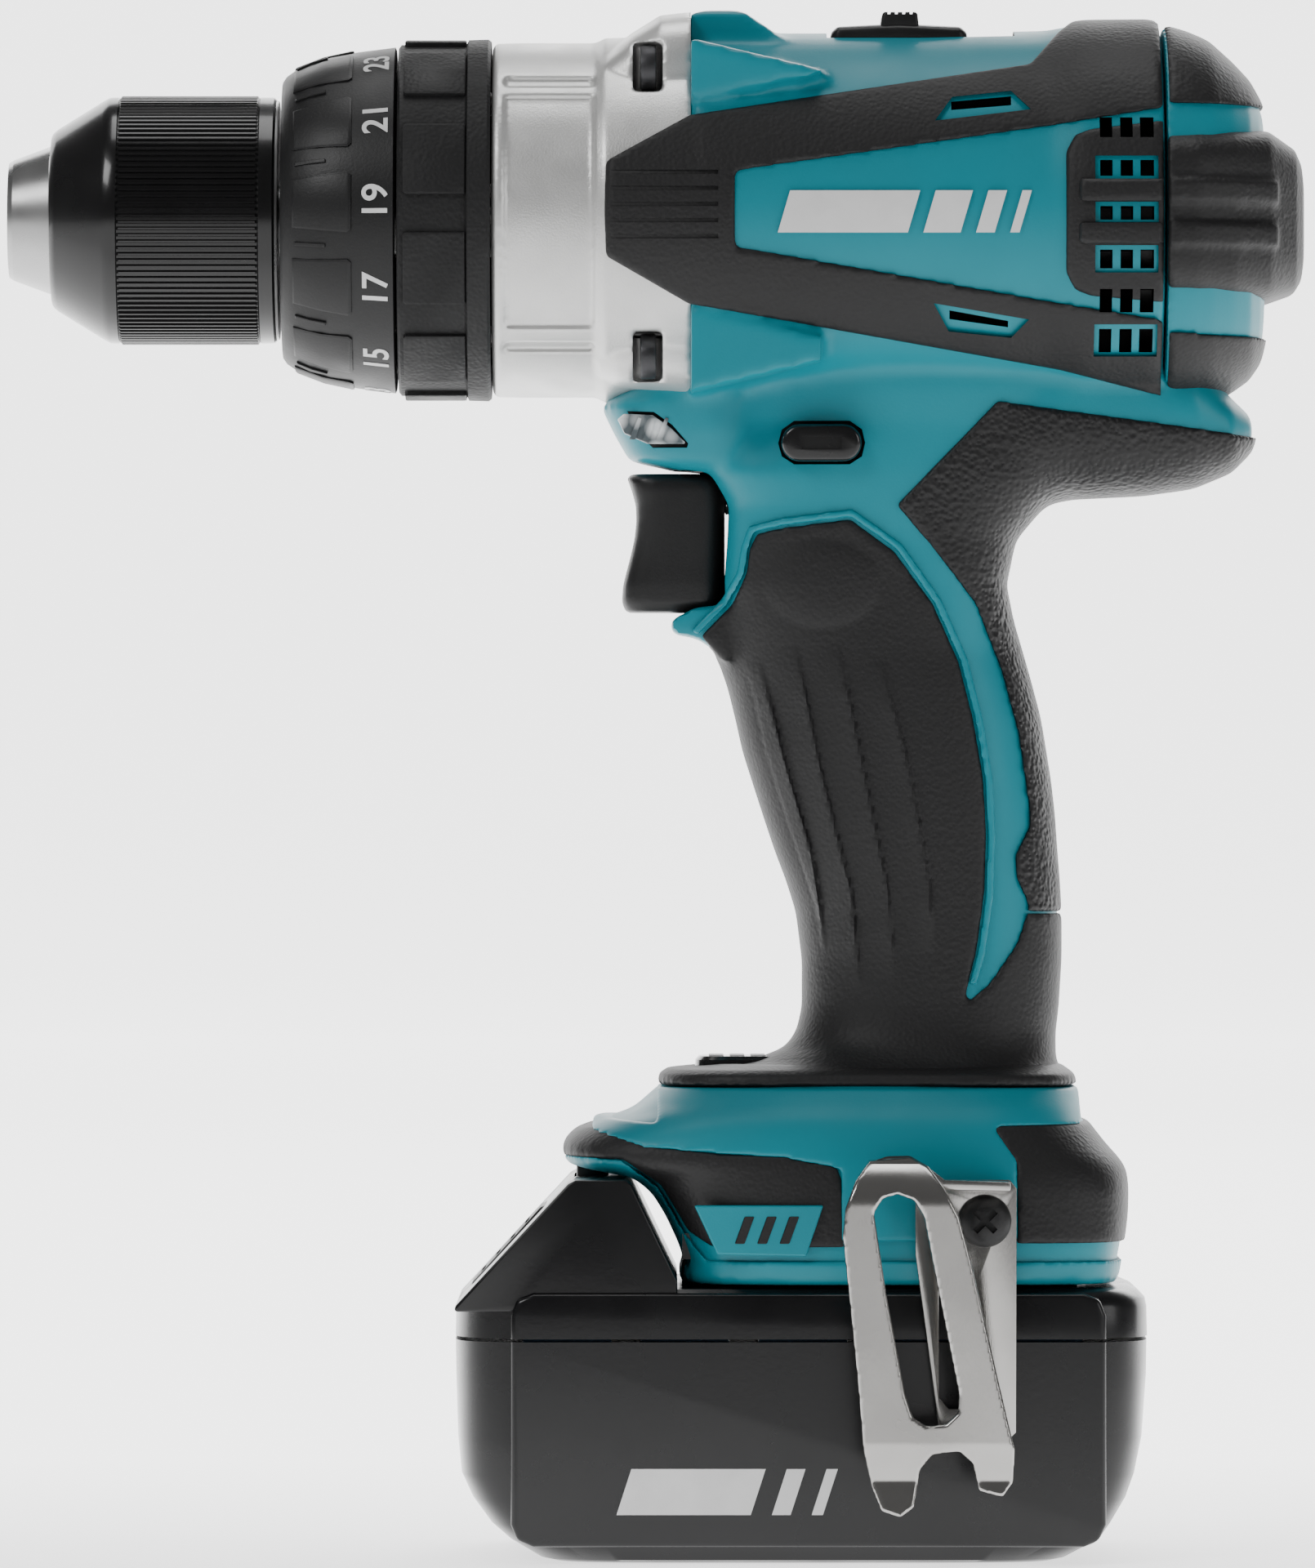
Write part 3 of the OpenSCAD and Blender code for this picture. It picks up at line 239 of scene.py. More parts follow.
def loft(name, sections, along="Z", ring=64):
    # A grid rolled into a closed tube through sections of [level, low, high, half width, squareness]
    clearSelection()
    bpy.ops.mesh.primitive_grid_add(x_subdivisions=ring, y_subdivisions=len(sections) - 1, size=2)
    piece = named(name)
    for vertex in piece.data.vertices:
        turn = (vertex.co.x + 1) * math.pi
        level, low, high, half, square = sections[round((vertex.co.y + 1) / 2 * (len(sections) - 1))]
        c, s = math.cos(turn), math.sin(turn)
        a = (low + high) / 2 + (high - low) / 2 * math.copysign(abs(c) ** (2 / square), c)
        b = half * math.copysign(abs(s) ** (2 / square), s)
        vertex.co = (a * mm, b * mm, level * mm) if along == "Z" else (level * mm, b * mm, a * mm)
    tidyMesh(piece)
    startEdit()
    bpy.ops.mesh.fill_holes(sides=0)
    endEdit()
    return piece


def spun(piece, angle):
    # Turned round the spindle, in degrees
    angle = math.radians(angle)
    for vertex in piece.data.vertices:
        y, z = vertex.co.y, vertex.co.z - spindleZ
        vertex.co.y = y * math.cos(angle) - z * math.sin(angle)
        vertex.co.z = spindleZ + y * math.sin(angle) + z * math.cos(angle)
    return piece


def ringOf(piece, name, angles):
    copies = [spun(copyOf(piece, name), angle) for angle in angles]
    remove(piece)
    return joined(copies, name)


def sideSpan(side, inner, outer=wide):
    # From low to high on the near side, -1, or the far side, 1
    return (inner, outer) if side > 0 else (-outer, -inner)


def addMaterial(piece, material):
    piece.data.materials.clear()
    piece.data.materials.append(material)


def dress(piece, material, body="housing", nodes=()):
    if material:
        addMaterial(piece, material)
    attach(piece, body)
    if nodes:
        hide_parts(*nodes)
    return piece


# Colours, roughness from and to, and the grain, bump depth and broad mottling of each finish
finishes = {
    "tealPlastic": {"colour": (0.0, 0.222, 0.28), "shade": (0.0, 0.2, 0.254), "rough": (0.36, 0.44),
        "grain": 2600, "depth": 0.05, "broad": 90},
    "gripRubber": {"colour": (0.013, 0.0125, 0.013), "shade": (0.009, 0.009, 0.0095),
        "rough": (0.5, 0.58), "grain": 1500, "depth": 0.22, "broad": 40, "cells": True},
    "pebbleRubber": {"colour": (0.014, 0.0135, 0.014), "shade": (0.007, 0.007, 0.0075),
        "rough": (0.42, 0.55), "grain": 1250, "depth": 0.75, "broad": 60, "cells": True},
    "silverPaint": {"colour": (0.72, 0.72, 0.71), "shade": (0.62, 0.62, 0.61), "rough": (0.34, 0.46),
        "metal": 0.7, "grain": 3200, "depth": 0.12, "broad": 160},
    "blackGloss": {"colour": (0.004, 0.004, 0.0042), "shade": (0.006, 0.006, 0.0064),
        "rough": (0.16, 0.3), "grain": 900, "depth": 0.02, "broad": 70, "coat": 0.4},
    "blackSatin": {"colour": (0.007, 0.007, 0.0074), "shade": (0.011, 0.011, 0.0115),
        "rough": (0.36, 0.5), "grain": 2200, "depth": 0.08, "broad": 90},
    "ringGrip": {"colour": (0.009, 0.009, 0.0095), "shade": (0.006, 0.006, 0.0064), "rough": (0.5, 0.7),
        "grain": 1500, "depth": 0.3, "broad": 60, "cells": True},
    "batteryShell": {"colour": (0.004, 0.004, 0.0045), "shade": (0.007, 0.007, 0.0076),
        "rough": (0.2, 0.34), "grain": 1300, "depth": 0.03, "broad": 60, "coat": 0.1},
    "brightSteel": {"colour": (0.56, 0.55, 0.53), "shade": (0.36, 0.35, 0.34), "rough": (0.14, 0.3),
        "metal": 1.0, "grain": 900, "depth": 0.05, "broad": 40, "stretch": (14, 1, 1)},
    "turnedSteel": {"colour": (0.5, 0.5, 0.5), "shade": (0.35, 0.35, 0.35), "rough": (0.22, 0.4),
        "metal": 1.0, "grain": 700, "depth": 0.04, "broad": 60, "stretch": (12, 1, 1)},
    "darkSteel": {"colour": (0.09, 0.09, 0.095), "shade": (0.05, 0.05, 0.053), "rough": (0.3, 0.5),
        "metal": 0.9, "grain": 1500, "depth": 0.08, "broad": 90},
    # Near black for the openings: painted shade in the recesses, and the dark line of the parting seam
    "seamAndPocketShade": {"colour": (0.006, 0.006, 0.006), "shade": (0.01, 0.01, 0.01), "rough": (0.6, 0.8),
        "grain": 900, "depth": 0.1, "broad": 80},
    "printWhite": {"colour": (0.75, 0.75, 0.75), "shade": (0.6, 0.6, 0.6), "rough": (0.5, 0.7),
        "grain": 1800, "depth": 0.05, "broad": 200},
    "brassRing": {"colour": (0.55, 0.4, 0.13), "shade": (0.4, 0.28, 0.09), "rough": (0.25, 0.4),
        "metal": 1.0, "grain": 900, "depth": 0.05, "broad": 90},
    "cellWrap": {"colour": (0.05, 0.16, 0.3), "shade": (0.04, 0.12, 0.24), "rough": (0.3, 0.4),
        "grain": 900, "depth": 0.03, "broad": 90},
    "circuitGreen": {"colour": (0.02, 0.14, 0.06), "shade": (0.015, 0.09, 0.04), "rough": (0.3, 0.5),
        "grain": 500, "depth": 0.08, "broad": 150},
}


def setInputs(node, values):
    for key, value in values.items():
        node.inputs[key].default_value = value


def makeFinish(name, look):
    material = bpy.data.materials.new(name)
    material.use_nodes = True
    nodes, links = material.node_tree.nodes, material.node_tree.links
    shader = nodes["Principled BSDF"]
    setInputs(shader, {"Metallic": look.get("metal", 0), "Coat Weight": look.get("coat", 0),
        "Coat Roughness": 0.12, "Specular IOR Level": 0.35})
    place = nodes.new("ShaderNodeTexCoord")
    mapping = nodes.new("ShaderNodeMapping")
    mapping.inputs["Scale"].default_value = look.get("stretch", (1, 1, 1))
    links.new(place.outputs["Object"], mapping.inputs["Vector"])
    broad = nodes.new("ShaderNodeTexNoise")
    setInputs(broad, {"Scale": look["broad"], "Detail": 6})
    links.new(place.outputs["Object"], broad.inputs["Vector"])
    mix = nodes.new("ShaderNodeMix")
    mix.data_type = "RGBA"
    setInputs(mix, {6: (*look["colour"], 1), 7: (*look["shade"], 1)})
    links.new(broad.outputs["Fac"], mix.inputs[0])
    links.new(mix.outputs[2], shader.inputs["Base Color"])
    if look.get("cells"):
        grain = nodes.new("ShaderNodeTexVoronoi")
        grain.feature = "SMOOTH_F1"
        grainOut = grain.outputs["Distance"]
    else:
        grain = nodes.new("ShaderNodeTexNoise")
        grain.inputs["Detail"].default_value = 3
        grainOut = grain.outputs["Fac"]
    grain.inputs["Scale"].default_value = look["grain"]
    links.new(mapping.outputs["Vector"], grain.inputs["Vector"])
    bump = nodes.new("ShaderNodeBump")
    setInputs(bump, {"Strength": look["depth"], "Distance": 0.0004})
    links.new(grainOut, bump.inputs["Height"])
    links.new(bump.outputs["Normal"], shader.inputs["Normal"])
    spread = nodes.new("ShaderNodeMapRange")
    low, high = look["rough"]
    setInputs(spread, {"From Min": 0.3, "From Max": 0.7, "To Min": low, "To Max": high})
    links.new(broad.outputs["Fac"], spread.inputs["Value"])
    links.new(spread.outputs["Result"], shader.inputs["Roughness"])
    return material


finish = {name: makeFinish(name, look) for name, look in finishes.items()}


def makeLensFinish():
    material = bpy.data.materials.new("clearLens")
    material.use_nodes = True
    nodes, links = material.node_tree.nodes, material.node_tree.links
    shader = nodes["Principled BSDF"]
    setInputs(shader, {"Roughness": 0.08, "IOR": 1.49, "Coat Weight": 0.6})
    place = nodes.new("ShaderNodeTexCoord")
    # Bright and dark cells in the base colour are painted glints and painted shade of the clear faceted
    # lens
    glintCells = nodes.new("ShaderNodeTexVoronoi")
    glintCells.inputs["Scale"].default_value = 330
    links.new(place.outputs["Object"], glintCells.inputs["Vector"])
    ramp = nodes.new("ShaderNodeMapRange")
    setInputs(ramp, {"From Min": 0.25, "From Max": 0.7})
    links.new(glintCells.outputs["Distance"], ramp.inputs["Value"])
    mix = nodes.new("ShaderNodeMix")
    mix.data_type = "RGBA"
    setInputs(mix, {6: (0.8, 0.83, 0.84, 1), 7: (0.1, 0.12, 0.13, 1)})
    links.new(ramp.outputs["Result"], mix.inputs[0])
    links.new(mix.outputs[2], shader.inputs["Base Color"])
    return material


finish["clearLens"] = makeLensFinish()
print("finishes made")

# Sections of the body, each [level, low, high, half width, squareness]
body = {
    "barrel": [(-18, 30.2), (-17.6, 30.6), (20, 30.6), (40, 31), (46, 32.1), (58.6, 32.2), (58.6, 5),
        (-18, 5)],
    "grip": [(200, -12, 56, 18, 2.6), (190, -15, 60, 18, 2.6), (184, -15.8, 58, 17.5, 2.6),
        (176.4, -15.8, 46, 17.4, 3.4), (171, -12.6, 39, 17, 3.4), (165.7, -12.8, 34.5, 16.6, 3.4),
        (158, -13.5, 33, 16.4, 3.3), (152, -13.2, 34.2, 16.4, 2.8), (147, -13.2, 35.7, 16.5, 2.4),
        (141.7, -11.3, 37.2, 16.7, 2.4), (136.4, -10, 38.6, 16.8, 2.4), (131, -8.8, 39.5, 16.9, 2.4),
        (126, -7.2, 40.3, 16.9, 2.4), (120.7, -5.5, 40.9, 16.9, 2.4), (115, -3.6, 41.3, 16.8, 2.4),
        (110, -1.7, 41.7, 16.7, 2.4), (104.9, -0.1, 42.0, 16.6, 2.4), (97, 0.9, 42, 16.6, 2.4),
        (89, 0.9, 41.5, 16.8, 2.4), (85, 0, 41, 17.4, 2.4), (82, -2, 41, 18.5, 2.5),
        (79.6, -8, 41.2, 21, 2.6), (77.5, -22, 42.8, 25, 2.8), (74, -22.6, 44.6, 28.5, 3),
        (70, -22, 45, 31, 3.2)],
    "rest": [(24, 164, 200, 14, 2.6), (34, 170.5, 200, 17.2, 2.8), (44, 172.8, 202, 17.4, 2.8),
        (56, 173.4, 200, 17.2, 2.8), (64, 174.5, 196, 16.4, 2.6), (70, 177, 189, 14, 2.6),
        (73.6, 180.6, 185.6, 9, 2.4)],
    "chin": [(176.6, -20, -6, 11, 2.6), (178.4, -28, -6, 13, 2.8), (183, -30.6, -6, 14.2, 3),
        (187.4, -32.7, -6, 14.6, 3), (196, -20, -6, 15, 3)],
    "foot": [(45.1, -19.6, 50.7, 35, 6), (48.4, -18.2, 51.2, 35.6, 6), (51.5, -19.3, 51.8, 35.8, 6),
        (56, -21.4, 52.4, 35.8, 5.5), (60, -23.9, 52.5, 35.6, 5.5), (62.6, -27.4, 52.3, 35.4, 5),
        (64.4, -37.4, 51.2, 35, 5), (66.5, -38.6, 49.2, 34.4, 4.6), (68.6, -36.6, 47.6, 33.6, 4.2),
        (70.6, -33, 46, 32.4, 4), (72.6, -27.4, 45.2, 30.6, 3.8), (76.4, -23.2, 44.4, 26.5, 3.2)],
    "voxel": 1.0, "passes": 5,
}


def buildShell(shape):
    parts = [lathe("barrel", shape["barrel"]), loft("grip", shape["grip"]), loft("thumbRest",
        shape["rest"], along="X"), loft("chin", shape["chin"]), loft("foot", shape["foot"]),
        prism("topHump", [(-18, 240), (-18, 251), (-16.5, 251.7), (-9.6, 251.7), (-4.4, 248.2), (-2, 246),
        (-2, 240)], -11, 11), prism("lip", [(-12, 155), (-16.8, 154.6), (-21.2, 152.4), (-21.2, 150.2),
        (-16.8, 149.4), (-12, 146)], -10, 10)]
    # Sloping wedges on the shoulders in front
    for side in (-1, 1):
        parts.append(prism("upperWedge", [(-18, 236.6), (-18, 246.4), (3.6, 241.2), (3.6, 240.4)],
            side * 15, side * 26))
        parts.append(prism("lowerWedge", [(-18, 189), (-18, 202.4), (3.3, 198.2), (3.3, 194)], side * 12,
            side * 27))
    shell = joined(parts, "shell")
    return remesh(shell, shape["voxel"], shape["passes"])


shell = buildShell(body)
print("body", len(shell.data.polygons))

# Skins are thicker copies of the body, cut to their outlines in the side view
skinSource = copyOf(shell, "skinSource")
inflate(skinSource, 0.75)
noseBack = lathe("noseBack", [(-32, 30.2), (-31, 31), (-16, 31.2), (-16, 10), (-32, 10)])
boolean(skinSource, noseBack, "UNION")

skins = {
    "upperBand": [(-32, 218.6), (-31.8, 226.2), (-18.2, 233.8), (37.1, 242.4), (41.7, 247.9),
        (45.7, 251.6), (58.3, 252), (58.3, 234.9), (41.7, 232.2), (-10.9, 224.6), (-10.9, 212.4),
        (41.7, 203.3), (58.3, 200.6), (58.3, 188.6), (41.7, 192.8), (-18.3, 203.2), (-31.8, 210.9)],
    "rearPad": [(42.5, 227.6), (44, 230.4), (46.6, 231.4), (58.3, 232.8), (58.3, 203.4), (46.6, 204.4),
        (44, 205.4), (42.5, 208.2)],
    "gripSide": [(-7.2, 166.3), (-3, 167.2), (7.9, 168.6), (15, 163.4), (21.3, 154.9), (25.5, 145.5),
        (27.9, 136.1), (29.5, 126.7), (30, 117.2), (29.7, 107.9), (28.4, 98.4), (26.2, 89.6),
        (30.3, 92.9), (35, 99.5), (36.7, 104.5), (46, 104.5), (46, 77), (-24.5, 77), (-24.5, 81),
        (-4, 84), (-4, 104), (-9, 125), (-14, 147), (-16.3, 149.7), (-11.2, 154.9), (-8.9, 159.9),
        (-8.4, 163.8)],
    "gripBack": [(31.8, 187.8), (72.9, 182.2), (77, 182), (77, 168), (48, 166), (46, 104.8),
        (36.8, 104.8), (37, 105.8), (35, 110.3), (34.7, 113.9), (37.2, 118.7), (37.1, 122), (35.4, 133.7),
        (32.6, 144.1), (28.3, 154.9), (21.4, 163.9), (15.4, 170.9)],
    "frontBumper": [(-40, 68.4), (-33.7, 70.2), (-25.5, 67.4), (-13.3, 66), (-2.6, 65.6), (5.4, 64),
        (6.5, 61.2), (6.7, 51), (-14.6, 51), (-18.4, 53.4), (-22.8, 60.8), (-28.9, 65), (-40, 65.2)],
    "rearBumper": [(34.3, 51.6), (34.3, 64.4), (30.4, 70.4), (44.9, 70.8), (50, 70.8), (54, 64),
        (54, 51.6)],
}
skinPieces = {}
for label, outline in skins.items():
    piece = boolean(prism(label, outline, -wide, wide), skinSource, "INTERSECT", keep=True)
    skinPieces[label] = remesh(piece, skinVoxel, 4)
    print("skin", label, len(piece.data.polygons))
remove(skinSource)
# The upper skins stay outside the motor and the gears
bore = lathe("bore", [(-30, 0), (-30, 27.6), (57, 27.6), (57, 0)], 96)
upperSkins = [skinPieces["upperBand"], skinPieces["rearPad"]]
for piece in upperSkins:
    boolean(piece, bore, "DIFFERENCE", keep=True)
remove(bore)

openings = {
    "ventColumns": [(48, 50), (51.3, 53.3), (54.5, 56.7)],
    "ventRows": [(230, 233.3), (223.7, 226.3), (216.6, 218.8), (208.8, 211.8), (201.8, 205.5),
        (195.5, 199.2)],
    "slotFrames": [[(21.4, 232.8), (24.3, 236.8), (33.8, 237.8), (37, 234.7)], [(21.2, 203.3),
        (36.7, 200.7), (33.8, 197.8), (23.7, 198.8)]],
    "slots": [[(24.1, 234.6), (24.1, 236), (33.8, 236.9), (33.8, 235.4)], [(23.8, 202.2), (33.3, 200.5),
        (33.3, 199.5), (23.8, 200.8)]],
    "triggerMouth": [(-40, -8.8, 152.8), (-4.6, 8.8, 176.8)],
    "lever": [(-3.8, 181), (-3.2, 183.2), (-1.2, 184.6), (7.8, 184.6), (9.8, 183.2), (10.3, 181),
        (9.8, 178.8), (7.8, 177.5), (-1.2, 177.5), (-3.2, 178.8)],
    "lens": [(-30.4, 185.4), (-29.2, 182.2), (-25, 180.3), (-18.6, 180.3), (-18.4, 181), (-21, 184),
        (-24, 186.1), (-29, 186.3)],
}


def cutOpenings(spec):
    # Windows in the rubber show the body's colour round each vent
    windows = []
    for side in (-1, 1):
        near, far = sideSpan(side, 8)
        for low, high in spec["ventRows"][1:4] + spec["ventRows"][5:]:
            windows.append(box("window", (47.2, near, low - 0.7), (57.4, far, high + 0.7)))
        for outline in spec["slotFrames"]:
            windows.append(prism("window", outline, near, far))
    windowCutter = joined(windows, "windowCutter")
    for piece in upperSkins:
        boolean(piece, windowCutter, "DIFFERENCE", keep=True)
    remove(windowCutter)
    holes = []
    for side in (-1, 1):
        near, far = sideSpan(side, 17)
        for low, high in spec["ventRows"]:
            for left, right in spec["ventColumns"]:
                holes.append(box("hole", (left, near, low), (right, far, high)))
        for outline in spec["slots"]:
            holes.append(prism("hole", outline, near, far))
    holes.append(box("triggerMouth", *spec["triggerMouth"]))
    holes.append(box("selectorMouth", (4.2, -8.2, 246), (34.8, 8.2, 256)))
    for name, inner in (("lever", 14), ("lens", 12.4)):
        holes += [prism(name + "Mouth", spec[name], *sideSpan(side, inner)) for side in (-1, 1)]
    holes.append(box("hookPocket", (-42, -14, 60), (-27.8, 14, 67.6)))
    holes.append(box("partingGroove", (-40, -0.15, 40), (90, 0.15, 150)))
    # The walls and floors of the openings take near black: painted shade in the vents, slots, mouths and
    # hook pocket, and the dark parting seam
    for hole in holes:
        hole.data.materials.append(finish["seamAndPocketShade"])
    cutter = joined(holes, "holeCutter")
    tidyMesh(cutter, 0.0000001)
    return cutter


addMaterial(shell, finish["tealPlastic"])
for piece in skinPieces.values():
    addMaterial(piece, finish["gripRubber"])
holeCutter = cutOpenings(openings)
boolean(shell, holeCutter, "DIFFERENCE", keep=True)
for piece in upperSkins:
    boolean(piece, holeCutter, "DIFFERENCE", keep=True)
cut(skinPieces["gripSide"], box("triggerRoom", *openings["triggerMouth"]))
remove(holeCutter)


def cutNose(piece):
    levels = (224.4, 221.8, 219.2, 216.6, 214)
    grooves = []
    for side in (-1, 1):
        near, far = sideSpan(side, 24)
        grooves += [box("groove", (-34, near, z - 0.35), (-13.6, far, z + 0.35)) for z in levels]
    cutter = joined(grooves, "grooves")
    # The grooves stay shallower than the rubber, so the body's colour doesn't show in them
    cut(cutter, rodAlong("grooveFloor", (0, spindleHeight), 30.85, -40, -8, sides=128))
    cut(piece, cutter)


cutNose(skinPieces["upperBand"])


def shapeGrip(piece):
    # Soft ridges run down the grip, each rising by up to a millimetre, with a dimple above them
    ridges = [[(-1, 148), (3, 128), (8, 108), (9.5, 92)], [(6, 148), (10, 128), (14, 108), (15, 94)],
        [(13, 146), (17.4, 128), (20.6, 110), (21, 98)], [(-7, 146), (-3, 130), (1.6, 114), (4, 98)]]
    for vertex in piece.data.vertices:
        x, y, z = (value / mm for value in vertex.co)
        if abs(y) < 11:
            continue
        lift = 0
        for ridge in ridges:
            for (xa, za), (xb, zb) in zip(ridge, ridge[1:]):
                if zb <= z <= za:
                    line = xa + (xb - xa) * (za - z) / (za - zb)
                    ends = min(1, (ridge[0][1] - z) / 8, (z - ridge[-1][1]) / 8)
                    run = (x - line + 5.4) / 5.4
                    if 0 < run < 1.08:
                        lift = max(lift, max(0, ends) * (run ** 2 if run < 1 else (1.08 - run) / 0.08))
        dimple = ((x - 3.4) / 9.5) ** 2 + ((z - 158) / 7) ** 2
        if dimple < 1:
            lift -= 0.7 * (1 - dimple) ** 0.7
        vertex.co.y += math.copysign(lift * mm, y)


shapeGrip(skinPieces["gripSide"])


def ribbon(path, half):
    # A band of constant width along a path in the side view
    left, right = [], []
    for i, (x, z) in enumerate(path):
        (xa, za), (xb, zb) = path[max(0, i - 1)], path[min(len(path) - 1, i + 1)]
        length = math.hypot(xb - xa, zb - za)
        nx, nz = -(zb - za) / length * half, (xb - xa) / length * half
        left.append((x + nx, z + nz))
        right.append((x - nx, z - nz))
    return left + right[::-1]


# Frame lines of the body's own plastic round the skins
borderPath = [(-17.4, 150.2), (-12.4, 155.4), (-9.8, 160), (-9.2, 164), (-8.2, 167), (-3.2, 168.2),
    (8.1, 169.6), (15.8, 164.2), (22.1, 155.3), (26.4, 145.8), (28.8, 136.3), (30.4, 126.8),
    (30.9, 117.2), (30.6, 107.9), (29.3, 98.3), (27.8, 93)]
trims = {
    "gripBorder": ribbon(borderPath, 0.62),
    "footRim": [(-20.4, 44.9), (51.2, 44.9), (51.8, 48.6), (8, 48.8), (-15.6, 48.8), (-19, 53),
        (-23.3, 60.4), (-29.2, 65), (-38.8, 65.6), (-40, 64.4), (-29.4, 62.2), (-25.6, 57.6)],
    "footBand": [(-23.4, 70.8), (-34, 71.6), (-34, 69.6), (-25.5, 67), (-2.6, 65.3), (6.2, 63.6),
        (6.2, 52), (34.6, 52), (34.6, 64.8), (30.8, 70.2), (45.4, 70.6), (45.2, 76.4), (-23.4, 76.4)],
}


def addTrims(source, outlines):
    lifted = inflate(copyOf(source, "trimSource"), 0.9)
    made = []
    for label, outline in outlines.items():
        if label == "gripBorder":
            sides = [prism(label, outline, *sideSpan(side, 6)) for side in (-1, 1)]
            piece = boolean(tidyMesh(joined(sides, label)), lifted, "INTERSECT", keep=True)
        else:
            piece = boolean(prism(label, outline, -wide, wide), lifted, "INTERSECT", keep=True)
        made.append(remesh(piece, trimVoxel, 5))
    remove(lifted)
    return made


trimPieces = addTrims(shell, trims)

# A raised plain badge with three bars in place of lettering
badgeFace = -37.3
badgeOutline = [(-17.5, 57.8), (3.3, 57.8), (0.5, 49.6), (-13.8, 49.9)]
badgePlate = bevel(prism("footBadge", badgeOutline, badgeFace, badgeFace + 1.4), 0.3)
addMaterial(badgePlate, finish["tealPlastic"])
bars = []
for x in (-11, -7.4, -3.8):
    bars.append(prism("badgeBar", [(x, 51.6), (x + 1.6, 51.6), (x + 3.2, 56), (x + 1.6, 56)], -37.5,
        -36.4))
badgeBars = bevel(joined(bars, "footBadgeBars"), 0.15, 1)
# A plain raised mark of slanted bars on the panel between the rubber bands
markSource = inflate(copyOf(shell, "markSource"), 0.5)
panelMarks = []
for left, right in ((-4, 17), (19.5, 25.5), (28, 31), (33.5, 35)):
    for side in (-1, 1):
        outline = [(left, 214.6), (left + 2, 221.4), (right + 2, 221.4), (right, 214.6)]
        bar = prism("panelMark", outline, side * 20, side * wide)
        panelMarks.append(boolean(tidyMesh(bar), markSource, "INTERSECT", keep=True))
remove(markSource)
dress(smoothShade(joined(panelMarks, "panelMarks")), finish["printWhite"])
dress(badgePlate, None)
dress(badgeBars, finish["blackSatin"])
print("openings cut")

dress(smoothShade(shell, softAngle), None, nodes=("housing_left", "housing_right"))
for piece in trimPieces:
    dress(smoothShade(piece, softAngle), finish["tealPlastic"])
for piece in skinPieces.values():
    dress(smoothShade(piece, softAngle), None)
addMaterial(skinPieces["gripBack"], finish["pebbleRubber"])
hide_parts("grip_rubber_left", "grip_rubber_right")

chuck = {
    "left": -122.4, "knurlLeft": -111.2, "knurlRight": -88.4, "right": -85.3, "radius": 20.35,
    "ridges": 120,
}


def buildSleeve(s):
    left, kl, kr = s["left"], s["knurlLeft"], s["knurlRight"]
    sleeve = lathe("chuckSleeve", [(left, 12.5), (left, 13.8), (left + 0.3, 14.3), (left + 1, 14.9),
        (left + 8.6, 19.6), (left + 9.6, 20.1), (kl - 0.2, 20.15), (kl, 19.95), (kr, 19.95), (kr + 0.2,
        20.15), (kr + 2.4, 20.1), (kr + 2.8, 19.7), (kr + 2.8, 18.6), (left + 10.4, 18.5), (left + 3.6,
        12.5)], fineTurn)
    ridge = prism("ridge", [(kl, 0), (kl + 0.3, 0.4), (kr - 0.3, 0.4), (kr, 0)], -0.3, 0.3)
    for vertex in ridge.data.vertices:
        vertex.co.z += spindleZ + 19.93 * mm
        if vertex.co.z > spindleZ + 20 * mm:
            vertex.co.y *= 0.45
    ridges = ringOf(ridge, "ridges", [360 / s["ridges"] * k for k in range(s["ridges"])])
    return joined([sleeve, ridges], "chuckSleeve")


dress(smoothShade(buildSleeve(chuck), crispAngle), finish["blackGloss"], "chuck_sleeve", ("chuck_sleeve",
    ))
print("chuck sleeve")

torqueRing = {
    "profile": [(-84.6, 15.4), (-84.6, 22.6), (-84, 23.5), (-82.4, 24.6), (-80, 25.7), (-76.7, 26.7),
        (-72.4, 27.5), (-68.9, 27.95), (-66.2, 28.3), (-66, 27.8), (-66, 25), (-78.6, 22.4),
        (-79.8, 20.8), (-79.8, 15.4)],
    "pad": [(-4.3, -82.6), (4.3, -82.6), (4.9, -73.6), (4.4, -73), (-4.4, -73), (-4.9, -73.6)],
    "tick": [(-0.3, -82.2), (0.3, -82.2), (0.3, -77.2), (-0.3, -77.2)],
    "digit": 4.4, "digitX": -68.9, "step": 15,
}


def ringRadius(outer, x):
    for (xa, ra), (xb, rb) in zip(outer, outer[1:]):
        if xa <= x <= xb:
            return ra + (rb - ra) * (x - xa) / (xb - xa)
    return outer[-1][1] if x > outer[-1][0] else outer[0][1]


def wrapFlat(piece, outer, angle, foot):
    # The flat piece's x goes round the ring, its y along it, its z outwards
    for vertex in piece.data.vertices:
        across, along, out = vertex.co
        r = ringRadius(outer, along / mm) * mm - foot * mm + out
        turn = math.radians(angle) + across / (27 * mm)
        vertex.co = (along, -r * math.cos(turn), spindleZ + r * math.sin(turn))
    return tidyMesh(piece, 0.0000001)


def flatPad(name, outline, height, taper=0.35):
    # The outline is [across, along]; the top is drawn in a little, so that the edge slopes
    clearSelection()
    bpy.ops.mesh.primitive_circle_add(vertices=len(outline), radius=0.01, fill_type="NGON")
    piece = named(name)
    for vertex, (a, b) in zip(piece.data.vertices, outline):
        vertex.co = (a * mm, b * mm, 0)
    startEdit()
    bpy.ops.mesh.extrude_region_move(TRANSFORM_OT_translate={"value": (0, 0, height * mm)})
    bpy.ops.mesh.inset(thickness=0.00001, depth=0)
    bpy.ops.mesh.inset(thickness=taper * mm, depth=0.1 * mm)
    bpy.ops.mesh.select_all(action="SELECT")
    bpy.ops.mesh.quads_convert_to_tris()
    bpy.ops.mesh.subdivide(number_cuts=1)
    endEdit(outwards=False)
    return piece


